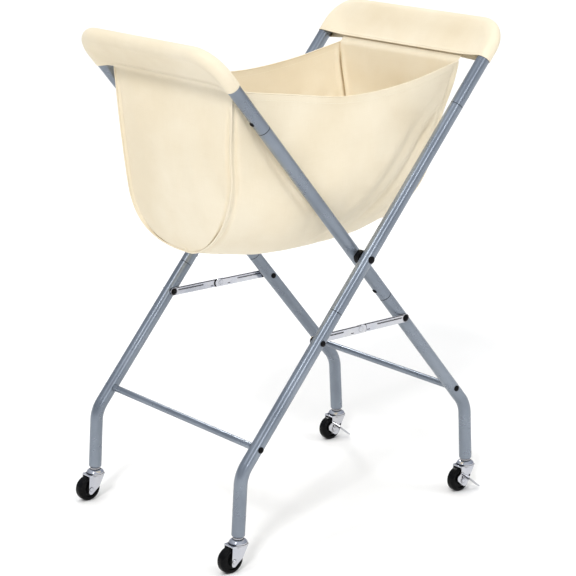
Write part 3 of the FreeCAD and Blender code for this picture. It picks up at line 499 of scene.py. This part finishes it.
# A sleeve lies in its bow's plane: y runs across, w upwards from the top bar's axis.
# Depth is a point's distance inwards from the hoop, edge its height above the sleeve's hem.
TUBE_RADIUS = 11.1 * MM
TUBE_CORNER = 58.0 * MM
TUBE_COVER = TUBE_RADIUS + 1.15 * MM  # the least the cloth keeps off the tube's axis
SLEEVE_RADIUS = TUBE_RADIUS + 1.25 * MM
SLEEVE_CORNER = 44.0 * MM
SLEEVE_LOW = -66.0 * MM
SLEEVE_TUCK = {"inner": 17.0 * MM, "outer": 30.0 * MM}
SLEEVE_CLOTH = 0.9 * MM
TUCK_POWER = 2.2
SEAM_HALF = 3.0 * MM
HEM_RISE = 0.9 * MM
HEM_EDGE = (6.0 * MM, 7.0 * MM)
HEM_START = (20.0 * MM, 30.0 * MM)
HEM_STITCHES = {"front": (5.2 * MM, 7.4 * MM), "back": (5.2 * MM,)}
EDGE_STEPS = 9  # points on the round run from an edge of the sleeve
SLEEVE_ROWS = 26
SLEEVE_COLUMNS = 34
PLIES = {"front": (1.0, 3.1), "back": (-1.0, 8.7)}  # side and noise seed of each ply
OVER_TUBE = -9.0 * MM  # depth beyond which the plies close round the tube's outer side
LOOSE_DEPTH = (-2.0 * MM, 14.0 * MM)  # where the cloth comes off the tube
RIPPLE_EDGE = (0.0, 12.0 * MM)  # heights above the hem over which ripples and sag come in
SAG = 0.8 * MM
SAG_HEIGHT = 50.0 * MM
FRAME_SIGN = {"inner": -1.0, "outer": 1.0}
PIVOT = Vector(next(j["pos_m"] for j in frame["joints"] if j["name"] == "frame_fold"))


def bow_axes(name):
    """Half width of a bow, the middle of its top bar, its up and its outward directions."""
    low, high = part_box(f"{name}_top_bow")
    sign = FRAME_SIGN[name]
    top_x = (low.x + TUBE_RADIUS) if sign < 0 else (high.x - TUBE_RADIUS)
    middle = Vector((top_x, 0.0, high.z - TUBE_RADIUS))
    up = (middle - Vector((0.0, 0.0, PIVOT.z))).normalized()
    outward = Vector((sign * up.z, 0.0, -abs(up.x)))
    return high.y - TUBE_RADIUS, middle, up, outward


def hoop_depth(y, w, width, bend):
    """How far a point of the bow's plane lies inside a hoop whose corners have this bend."""
    across = np.abs(y)
    straight = np.minimum(-w, width - across)
    corner_y, corner_w = across - (width - bend), w + bend
    corner = bend - np.hypot(corner_y, corner_w)
    return np.where((corner_y > 0) & (corner_w > 0), corner, straight)


def ply_height(depth, edge, tuck):
    """Half the gap between the two plies: round over the tube, then drawn together."""
    outside = np.sqrt(np.maximum(SLEEVE_RADIUS**2 - np.minimum(depth, 0.0) ** 2, 0.0))
    share = 1.0 / (1.0 + (np.maximum(depth, 0.0) / tuck) ** TUCK_POWER)
    inside = SEAM_HALF + (SLEEVE_RADIUS - SEAM_HALF) * share
    hem = HEM_RISE * (1 - smoothstep(edge, *HEM_EDGE)) * smoothstep(depth, *HEM_START)
    return np.where(depth < 0, outside, inside + hem)


def edge_steps(total, even_count):
    """Distances from an edge to a middle: round over the tube first, then even."""
    angles = np.linspace(0, math.pi / 2, EDGE_STEPS)
    round_off = [SLEEVE_RADIUS * (1 - math.cos(a)) for a in angles]
    even = np.linspace(SLEEVE_RADIUS, total, even_count)[1:]
    return np.concatenate([round_off, even])


def sleeve_grid(width):
    """The y and w of a ply's points, row by row from the top edge down to the hem."""
    rows_w = SLEEVE_RADIUS - edge_steps(SLEEVE_RADIUS - SLEEVE_LOW, SLEEVE_ROWS)
    corner_reach = SLEEVE_CORNER + SLEEVE_RADIUS
    rows = []
    for w in rows_w:
        reach = width + SLEEVE_RADIUS
        if w > -SLEEVE_CORNER:
            rise = min(w + SLEEVE_CORNER, corner_reach)
            reach = width - SLEEVE_CORNER + math.sqrt(max(corner_reach**2 - rise**2, 0.0))
        half = reach - edge_steps(reach, SLEEVE_COLUMNS)
        rows.append(np.concatenate([-half, half[::-1][1:]]))
    ys = np.array(rows)
    return ys, np.repeat(rows_w[:, None], ys.shape[1], axis=1)


def sleeve_plies(name, width, middle, up, outward):
    """The front and back ply as grids of points, and the points' heights above the hem."""
    ys, ws = sleeve_grid(width)
    edge = ws - SLEEVE_LOW
    depth = hoop_depth(ys, ws, width, SLEEVE_CORNER)
    height = ply_height(depth, edge, SLEEVE_TUCK[name])
    tube_depth = hoop_depth(ys, ws, width, TUBE_CORNER)
    over_tube = np.sqrt(np.maximum(TUBE_COVER**2 - tube_depth**2, 0.0))
    plane = np.array(middle) + ys[..., None] * np.array((0, 1, 0)) + ws[..., None] * np.array(up)
    loose = smoothstep(depth, *LOOSE_DEPTH)
    sag = SAG * loose * np.sin(np.clip(edge / SAG_HEIGHT, 0, 1) * math.pi)
    plies = {}
    for label, (sign, seed) in PLIES.items():
        ripple = rumples(
            plane,
            dict(scale=12.0, seed=seed, octaves=3, height=0.9),
            dict(scale=45.0, seed=seed, octaves=3, height=0.27),
        )
        lift = height + (ripple * loose - sag) * smoothstep(edge, *RIPPLE_EDGE)
        lift = np.maximum(lift, np.minimum(height, SLEEVE_CLOTH))
        lift = np.where(depth > OVER_TUBE, np.maximum(lift, over_tube), lift)
        plies[label] = plane + (sign * lift)[..., None] * np.array(outward)
    return plies, edge


def close_sleeve(piece):
    """Joins the two plies along the edges where they meet."""
    work = bmesh.new()
    work.from_mesh(piece.data)
    bmesh.ops.remove_doubles(work, verts=work.verts, dist=0.02 * MM)
    bmesh.ops.recalc_face_normals(work, faces=work.faces)
    work.to_mesh(piece.data)
    work.free()


def stitch_hems(name, plies, edge, outward):
    """The rows of stitches above the hem of each ply."""
    for label, ply in plies.items():
        columns = ply.shape[1]
        normals = np.tile(PLIES[label][0] * np.array(outward), (columns, 1))
        keep = slice(EDGE_STEPS, columns - EDGE_STEPS)
        for k, height in enumerate(HEM_STITCHES[label]):
            path = [at_run(height, edge[::-1, c], ply[::-1, c]) for c in range(columns)]
            path = np.array(path) + normals * STITCH_LIFT
            row = stitch_row(f"{name}_sleeve_stitches_{label}_{k + 1}", path[keep], normals[keep])
            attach(row, f"{name}_frame")


def make_sleeve(name):
    width, middle, up, outward = bow_axes(name)
    plies, edge = sleeve_plies(name, width, middle, up, outward)
    loop = np.concatenate([plies["front"], plies["back"][:, ::-1][:, 1:-1]], axis=1)
    faces = grid_faces(*loop.shape[:2], closed=True, flip=name == "inner")
    uvs = grid_lengths(loop)
    piece = new_piece(f"{name}_sleeve_cloth", loop.reshape(-1, 3), faces, CANVAS, uvs)
    close_sleeve(piece)
    thicken(piece, SLEEVE_CLOTH, offset=-1.0)
    subdivide(piece)
    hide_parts(f"{name}_sleeve")
    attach(piece, f"{name}_frame")
    stitch_hems(name, plies, edge, outward)


# ---------------------------------------------------------------- bag

# Each station is one U-shaped section of the bag, 0 at the inner and 1 at the outer end.
# Lengths are in millimetres. top and waist: half widths at the rim and where the side begins
# to curve in; start: the height of that place; floor: lowest height of that side;
# across and down: how square the curve is in each direction.
STATIONS = {
    0.0: {
        "near": dict(rim=768, top=161, waist=147, start=640, floor=478, across=1.6, down=1.75),
        "far": dict(rim=768, top=150, waist=146, start=580, floor=476, across=2.8, down=2.8),
    },
    0.22: {
        "near": dict(rim=752, top=158, waist=160, start=600, floor=464, across=2.0, down=2.3),
        "far": dict(rim=752, top=157, waist=160, start=590, floor=464, across=2.3, down=2.5),
    },
    0.5: {
        "near": dict(rim=735, top=157, waist=161, start=606, floor=460, across=1.9, down=2.2),
        "far": dict(rim=735, top=157, waist=161, start=606, floor=460, across=2.0, down=2.2),
    },
    0.78: {
        "near": dict(rim=745, top=155, waist=148, start=626, floor=464, across=1.8, down=1.9),
        "far": dict(rim=745, top=155, waist=148, start=626, floor=464, across=1.8, down=1.9),
    },
    1.0: {
        "near": dict(rim=767, top=150, waist=117, start=632, floor=476, across=1.7, down=1.7),
        "far": dict(rim=767, top=150, waist=117, start=632, floor=476, across=1.7, down=1.7),
    },
}
# An end panel reaches END_REACH out from the bag's middle at its top and at its floor.
END_TOP, END_FLOOR = 768.0, 484.0
END_REACH_TOP = 246.0
END_REACH_FLOOR = {"inner": 209.0, "outer": 202.0}
END_EVEN_LEAN = 0.55  # the share of its lean that is even, the rest comes near the floor
END_LEAN_POWER = 2.6
SECTION_SAMPLES = 160
BAG_ROWS = 140
ROW_CROWDING = 0.75
BAG_HALF_COLUMNS = 64
FLOOR_JOIN_POWER = 4
END_COLUMNS = 81
COLUMN_CROWDING = 0.65
BAG_CLOTH = 1.1 * MM
RIM_HEM = (12.0 * MM, 13.5 * MM)
RIM_HEM_RISE = 0.55 * BAG_CLOTH
RIM_STITCHES = 10.5 * MM
RIM_COLUMNS = 6  # the panel's columns from a rim to below its stitches
RIM_CORD_RADIUS = 1.15 * MM
RIM_CORD_STEP = 4.0 * MM
PIPING_RADIUS = 1.6 * MM
PIPING_STEP = 3.0 * MM
PIPING_OUT, PIPING_AWAY = 0.9 * MM, 0.5 * MM
# rows of cloth that tuck an end panel's top in under its sleeve: outwards and up, in millimetres
END_TUCKS = ((16.3, 17.3), (11.3, 11.3), (5.3, 5.3))


def station_value(s, side, key):
    """A smooth curve through the stations' values."""
    places = sorted(STATIONS)
    values = [STATIONS[p][side][key] for p in places]
    slopes = np.gradient(values, places)
    i = int(np.clip(np.searchsorted(places, s) - 1, 0, len(places) - 2))
    gap = places[i + 1] - places[i]
    t = (s - places[i]) / gap
    return (
        (2 * t**3 - 3 * t**2 + 1) * values[i]
        + (t**3 - 2 * t**2 + t) * gap * slopes[i]
        + (3 * t**2 - 2 * t**3) * values[i + 1]
        + (t**3 - t**2) * gap * slopes[i + 1]
    )


def half_section(s, side):
    """(y, z) from the rim down to the bag's middle, y counted outwards."""
    v = {key: station_value(s, side, key) for key in STATIONS[0.0][side]}
    down = np.linspace(v["rim"], v["start"], SECTION_SAMPLES // 2, endpoint=False)
    t = (v["rim"] - down) / (v["rim"] - v["start"])
    upper = v["top"] + (v["waist"] - v["top"]) * (3 * t**2 - 2 * t**3)
    turn = np.linspace(0, math.pi / 2, SECTION_SAMPLES)
    y = np.concatenate([upper, v["waist"] * np.cos(turn) ** (2 / v["across"])])
    drop = (v["start"] - v["floor"]) * np.sin(turn) ** (2 / v["down"])
    return np.stack([y, np.concatenate([down, v["start"] - drop])], axis=1)


def end_reach(z, name):
    """How far out an end panel lies at a height: it leans in towards its floor."""
    share = np.clip((END_TOP - z) / (END_TOP - END_FLOOR), 0, 1.2)
    ease = END_EVEN_LEAN * share + (1 - END_EVEN_LEAN) * share**END_LEAN_POWER
    return END_REACH_TOP - (END_REACH_TOP - END_REACH_FLOOR[name]) * ease


def even_half(s, side):
    """Points of a half section an equal distance apart, middle last."""
    section = half_section(s, side)
    run = run_along(section)
    return at_run(np.linspace(0, run[-1], BAG_HALF_COLUMNS), run, section).T


def row_places():
    """Where the long panel's rows lie, 0 to 1 along the bag, closest together at the seams."""
    even = np.linspace(0, 1, BAG_ROWS)
    return even - ROW_CROWDING * np.sin(2 * math.pi * even) / (2 * math.pi)


def bag_sections():
    """Grid of the long panel: rows run from the inner to the outer end, columns round the U."""
    rows = []
    to_floor = np.linspace(0, 1, BAG_HALF_COLUMNS) ** FLOOR_JOIN_POWER
    for s in row_places():
        near_y, near_z = even_half(s, "near")
        far_y, far_z = even_half(s, "far")
        floor = (near_z[-1] + far_z[-1]) / 2
        near_z = near_z + (floor - near_z[-1]) * to_floor
        far_z = far_z + (floor - far_z[-1]) * to_floor
        y = np.concatenate([-near_y, far_y[::-1][1:]])
        z = np.concatenate([near_z, far_z[::-1][1:]])
        x = -(1 - s) * end_reach(z, "inner") + s * end_reach(z, "outer")
        rows.append(np.stack([x, y, z], axis=1))
    return np.array(rows) * MM


# Folds of the long panel. Places and widths run along the bag, 0 to 1, and depths from a rim,
# at 0, to the middle of the floor, at 1. Heights are in millimetres, outwards.
# A span is where a fold comes in and where it fades out. A far share is what is left of a
# fold's height on the far side.
DIAGONAL_TOP, DIAGONAL_SLOPE = 1.2, 0.93  # the diagonal's place at a rim, and its run inwards
DIAGONAL_SPAN = (0.52, 0.72, 0.93, 1.0)
DIAGONAL_FAR_SHARE = 0.45
DIAGONAL_VALLEY = dict(offset=0.0, width=0.040, height=-6.0)
DIAGONAL_RIDGE = dict(offset=0.085, width=0.050, height=6.5)
OUTER_SIDE, INNER_SIDE = (0.12, 0.34, 0.6, 0.9), (0.22, 0.34, 0.55, 0.8)
COMPANIONS = (
    dict(offset=-0.16, lean=0.10, width=0.034, height=-2.6, span=OUTER_SIDE),
    dict(offset=-0.23, lean=0.10, width=0.045, height=2.0, span=OUTER_SIDE),
    dict(offset=0.075, lean=0.0, width=0.020, height=-2.4, span=INNER_SIDE),
    dict(offset=0.115, lean=0.0, width=0.024, height=2.2, span=INNER_SIDE),
)
SWEEP_START, SWEEP_SLOPE, SWEEP_BEND = 0.03, 0.30, 0.52
SWEEP_SPAN = (0.03, 0.12, 0.42, 0.6)
SWEEP_FAR_SHARE = 0.4
SWEEP = (
    dict(offset=0.0, width=0.022, height=-4.2),
    dict(offset=0.048, width=0.028, height=3.2),
)
BELLY_DEPTH, BELLY_LEAN = 0.53, 0.12
BELLY = (
    dict(place=0.335, width=0.024, height=-2.4, spread=0.10),
    dict(place=0.385, width=0.030, height=1.8, spread=0.12),
)
SEAM_DRAW = dict(place=0.014, width=0.009, height=-3.4)
SEAM_DRAW_DEPTH = (0.0, 0.08)
PANEL_SLACK = (
    dict(scale=8.0, seed=1.7, octaves=3, height=2.2),
    dict(scale=24.0, seed=5.2, octaves=2, height=0.8),
)
PANEL_SLACK_DEPTH = (0.0, 0.2)
PANEL_FREE = (0.0, 0.06, 0.95, 1.0)
NEAR_TO_FAR = (-0.15, 0.15)


def side_share(near, far_share):
    """1 on the near side, down to a fold's share on the far side."""
    return far_share + (1 - far_share) * near


def panel_folds(points):
    """Outward displacement of the long panel: soft folds, creases and a little slack."""
    s = row_places()[:, None]
    t = np.linspace(-1, 1, points.shape[1])[None, :]
    depth = 1 - np.abs(t)
    near = smoothstep(-t, *NEAR_TO_FAR)
    # the long crease from the outer end's top corners down towards the middle of the floor
    diagonal = 0.0
    for fold in (DIAGONAL_RIDGE, DIAGONAL_VALLEY):
        centre = (DIAGONAL_TOP - s) / DIAGONAL_SLOPE + fold["offset"]
        diagonal = diagonal + fold["height"] * MM * gaussian(depth, centre, fold["width"])
    lift = diagonal * window(s, *DIAGONAL_SPAN) * side_share(near, DIAGONAL_FAR_SHARE)
    # its weaker companions, nearer to the outer seam and to the middle
    line = DIAGONAL_TOP - DIAGONAL_SLOPE * depth
    for fold in COMPANIONS:
        centre = line + fold["offset"] + fold["lean"] * depth
        beside = gaussian(s, centre, fold["width"])
        lift += fold["height"] * MM * beside * window(depth, *fold["span"])
    # the crease that falls from the inner end's top corners
    sweep = SWEEP_START + SWEEP_SLOPE * depth + SWEEP_BEND * depth**2
    held = window(depth, *SWEEP_SPAN) * side_share(near, SWEEP_FAR_SHARE)
    for fold in SWEEP:
        lift += fold["height"] * MM * gaussian(s, sweep + fold["offset"], fold["width"]) * held
    # a shallow fold near the middle of the belly
    for fold in BELLY:
        centre = fold["place"] + BELLY_LEAN * (depth - 0.5)
        beside = gaussian(s, centre, fold["width"])
        lift += fold["height"] * MM * beside * gaussian(depth, BELLY_DEPTH, fold["spread"])
    slack = rumples(points, *PANEL_SLACK) * smoothstep(depth, *PANEL_SLACK_DEPTH)
    lift = (lift + slack) * window(s, *PANEL_FREE)
    # the cloth is drawn in beside both seams
    for from_seam in (s, 1 - s):
        drawn = gaussian(from_seam, SEAM_DRAW["place"], SEAM_DRAW["width"])
        lift += SEAM_DRAW["height"] * MM * drawn * smoothstep(depth, *SEAM_DRAW_DEPTH)
    return lift


def column_places():
    """Where an end panel's columns lie, -1 to 1 across it, closest together at the seam."""
    even = np.linspace(-1, 1, END_COLUMNS)
    crowded = even * (1.5 - 0.5 * even**2)
    return (1 - COLUMN_CROWDING) * even + COLUMN_CROWDING * crowded


# Shapes of an end panel. Places run 0 to 1 down it and -1 to 1 across it, heights are in
# millimetres, outwards.
END_BELLY = dict(height=9.0, power=0.8, start=(0.03, 0.3))
END_DENT = dict(place=0.95, width=0.026, height=-3.6, start=(0.04, 0.2))
END_PUCKER = dict(place=0.16, width=0.045, height=-2.6, start=(0.78, 0.95))
END_SLACK = (
    dict(scale=11.0, seed=7.7, octaves=3, height=2.0),
    dict(scale=30.0, seed=2.2, octaves=2, height=0.6),
)


# Where an end panel hangs free of its seam (slack) and of its edges (creases).
END_SLACK_SIDE, END_SLACK_DOWN = (0.0, 0.18), (0.0, 0.12, 0.9, 1.0)
END_CREASE_EDGE = (0.0, 0.03)
END_SAG_SHARE = 0.12  # how far it moves down for each length that it moves out


def end_crease(fold, place, v):
    """A dent or pucker that runs down an end panel from its start."""
    shape = gaussian(place, fold["place"], fold["width"])
    return fold["height"] * MM * shape * smoothstep(v, *fold["start"])


def end_folds(points):
    """Outward displacement of an end panel: it bellies out, with soft dents near its seam."""
    v = np.linspace(0, 1, len(points))[:, None]
    h = column_places()[None, :]
    from_side = 1 - np.abs(h)
    round_out = (1 - h**2) * np.sin(math.pi * v ** END_BELLY["power"])
    belly = END_BELLY["height"] * MM * round_out * smoothstep(v, *END_BELLY["start"])
    creases = end_crease(END_DENT, np.abs(h), v) + end_crease(END_PUCKER, h, v)
    free = smoothstep(from_side, *END_SLACK_SIDE) * window(v, *END_SLACK_DOWN)
    loose = smoothstep(from_side, *END_CREASE_EDGE) * smoothstep(1 - v, *END_CREASE_EDGE)
    return belly + rumples(points, *END_SLACK) * free + creases * loose


def bag_blend(piece):
    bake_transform(piece)


def bag_cloth(name, points, faces, uvs, node):
    """A panel of the bag, which stands in for a CAD node."""
    piece = new_piece(name, points, faces, CANVAS, uvs)
    thicken(piece, BAG_CLOTH, offset=0.0)
    subdivide(piece)
    apply_modifiers(piece)
    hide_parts(node)
    bag_blend(piece)


def make_bag():
    base = bag_sections()
    normals = grid_normals(base)
    near_rim = normals[BAG_ROWS // 2, 0]
    if near_rim[1] > 0:
        normals = -normals
    panel = base + normals * panel_folds(base)[..., None]
    run = np.array([run_along(row) for row in panel])
    from_rim = np.minimum(run, run[:, -1:] - run)
    hem = RIM_HEM_RISE * (1 - smoothstep(from_rim, *RIM_HEM))
    panel = panel + normals * hem[..., None]
    faces = grid_faces(*panel.shape[:2])
    bag_cloth("bag_long_panel", panel.reshape(-1, 3), faces, grid_lengths(panel), "bag_panel")
    make_bag_end("inner", panel[0])
    make_bag_end("outer", panel[-1])
    make_rims(panel, normals, from_rim)


def make_bag_end(name, seam):
    """The U-shaped end panel inside one end of the long panel, and the seam round it."""
    sign = FRAME_SIGN[name]
    count = len(seam) // 2 + 1
    near, far = seam[:count], seam[::-1][:count]
    tucks = np.array([(sign * out, 0.0, up) for out, up in END_TUCKS]) * MM
    near = np.concatenate([near[0] + tucks, near])
    far = np.concatenate([far[0] + tucks, far])
    share = (column_places() + 1) / 2
    points = near[:, None] * (1 - share)[None, :, None] + far[:, None] * share[None, :, None]
    out_and_down = np.array((sign, 0.0, -END_SAG_SHARE))
    points = points + end_folds(points)[..., None] * out_and_down
    points = points[:-1]
    flat = np.concatenate([points.reshape(-1, 3), seam[count - 1 : count]])
    faces = grid_faces(len(points), END_COLUMNS)
    lowest, bottom = (len(points) - 1) * END_COLUMNS, len(points) * END_COLUMNS
    faces += [(lowest + c, lowest + c + 1, bottom) for c in range(END_COLUMNS - 1)]
    if sign > 0:
        faces = [face[::-1] for face in faces]
    bag_cloth(f"bag_end_{name}", flat, faces, flat[:, 1:], f"{name}_bag_end")
    away = seam - seam.mean(axis=0)
    away[:, 0] = 0.0
    away /= np.linalg.norm(away, axis=1, keepdims=True)
    outward = np.array((sign, 0.0, 0.0))
    path = resampled(seam + outward * PIPING_OUT + away * PIPING_AWAY, PIPING_STEP)
    bag_blend(cord_piece(f"bag_seam_{name}", path, PIPING_RADIUS))


def make_rims(panel, normals, from_rim):
    """A soft rolled edge along both long rims, and the stitches of their hems."""
    inwards = range(RIM_COLUMNS)
    for label, columns in (("near", list(inwards)), ("far", [-1 - k for k in inwards])):
        edge = resampled(panel[:, columns[0]], RIM_CORD_STEP)
        bag_blend(cord_piece(f"bag_rim_{label}", edge, RIM_CORD_RADIUS))
        stitched = [
            at_run(RIM_STITCHES, distances[columns], row[columns])
            for distances, row in zip(from_rim, panel)
        ]
        for side, sign in (("outside", 1.0), ("inside", -1.0)):
            facing = normals[:, columns[2]] * sign
            path = np.array(stitched) + facing * (BAG_CLOTH / 2 + STITCH_LIFT)
            name = f"bag_rim_stitches_{label}_{side}"
            bag_blend(stitch_row(name, path[2:-2], facing[2:-2]))


for bow in FRAME_SIGN:
    make_sleeve(bow)
make_bag()


# ---------------------------------------------------------------- studio

FLOOR_HALF = 16.0
# The camera looks at its target from this azimuth and elevation, in degrees, as in the photo.
CAMERA = dict(azimuth=-39.71, elevation=15.40, roll=0.25, distance=3.3158, lens=120.46)
CAMERA_TARGET = Vector((-0.0009, -0.0027, 0.3810))


def place_object(name, data):
    thing = bpy.data.objects.new(name, data)
    bpy.context.scene.collection.objects.link(thing)
    return thing


def make_floor():
    half = FLOOR_HALF
    corners = [(-half, -half, 0), (half, -half, 0), (half, half, 0), (-half, half, 0)]
    mesh = bpy.data.meshes.new("floor")
    mesh.from_pydata(corners, [], [(0, 1, 2, 3)])
    mesh.materials.append(floor_material())
    place_object("floor", mesh)


def make_light(name, kind, place, target, power):
    """A lamp at a place, turned to its target."""
    data = bpy.data.lights.new(name, kind)
    data.energy = power
    light = place_object(name, data)
    light.location = place
    direction = Vector(target) - light.location
    light.rotation_euler = direction.to_track_quat("-Z", "Y").to_euler()
    return light


def make_sun(name, direction, strength, spread):
    """A soft sun that shines from a direction and isn't mirrored in bright metal."""
    sun = make_light(name, "SUN", direction, (0, 0, 0), strength)
    sun.data.angle = math.radians(spread)
    sun.visible_glossy = False


def make_strip(name, place, target, size, power, roll=0.0):
    """A lamp that bright metal mirrors as a narrow streak. Roll turns it about its own beam."""
    lamp = make_light(name, "AREA", place, target, power)
    lamp.data.shape = "RECTANGLE"
    lamp.data.size, lamp.data.size_y = size
    lamp.rotation_euler.rotate_axis("Z", math.radians(roll))


def make_world():
    """A white backdrop, even light, and for reflections a dark room above a pale horizon."""
    world = bpy.data.worlds.new("studio")
    bpy.context.scene.world = world
    g = Graph(world)
    background = world.node_tree.nodes["Background"]
    height = g.add("ShaderNodeSeparateXYZ", {0: g.add("ShaderNodeTexCoord").outputs["Generated"]})
    room = g.colours(
        g.spread(height.outputs[2], 0.0, 1.0, start=-0.2, end=1.0),
        (0.19, (0.80, 0.82, 0.85)),
        (0.28, (0.24, 0.26, 0.29)),
        (0.55, (0.30, 0.32, 0.36)),
        (1.0, (0.50, 0.53, 0.58)),
    )
    lit = g.mixed(g.ray("Glossy"), (0.465, 0.47, 0.475, 1.0), room)
    g.feed(background, "Color", g.mixed(g.ray("Camera"), lit, (1.0, 1.0, 1.0, 1.0)))
    g.feed(background, "Strength", 1.0)


def make_camera():
    azimuth, elevation, roll = (
        math.radians(CAMERA[key]) for key in ("azimuth", "elevation", "roll")
    )
    level = math.cos(elevation)
    back = Vector(
        (math.sin(azimuth) * level, -math.cos(azimuth) * level, math.sin(elevation))
    )
    data = bpy.data.cameras.new("camera")
    data.sensor_width = 36.0
    data.lens = CAMERA["lens"]
    data.clip_end = 100.0
    camera = place_object("camera", data)
    camera.location = CAMERA_TARGET + back * CAMERA["distance"]
    camera.rotation_euler = (-back).to_track_quat("-Z", "Y").to_euler()
    camera.rotation_euler.rotate_axis("Z", roll)
    bpy.context.scene.camera = camera


make_floor()
make_world()
make_sun("key", direction=(-0.6, -0.45, 0.66), strength=1.4, spread=10)
make_sun("fill", direction=(0.5, -0.5, 0.7), strength=0.6, spread=25)
make_sun("top", direction=(0.0, 0.1, 1.0), strength=0.9, spread=40)
make_strip("streak", (-1.9, -0.3, 2.8), (0, 0, 0.4), size=(0.2, 0.8), power=8)
make_strip(
    "front_streak", (-0.66, -2.6, 1.7), (0, 0, 0.4), size=(0.11, 1.7), power=10, roll=-39.4
)
make_strip("rim", (1.2, 2.6, 2.4), (0, 0, 0.5), size=(0.3, 0.8), power=16)
make_camera()
bpy.context.scene.view_settings.view_transform = "Standard"
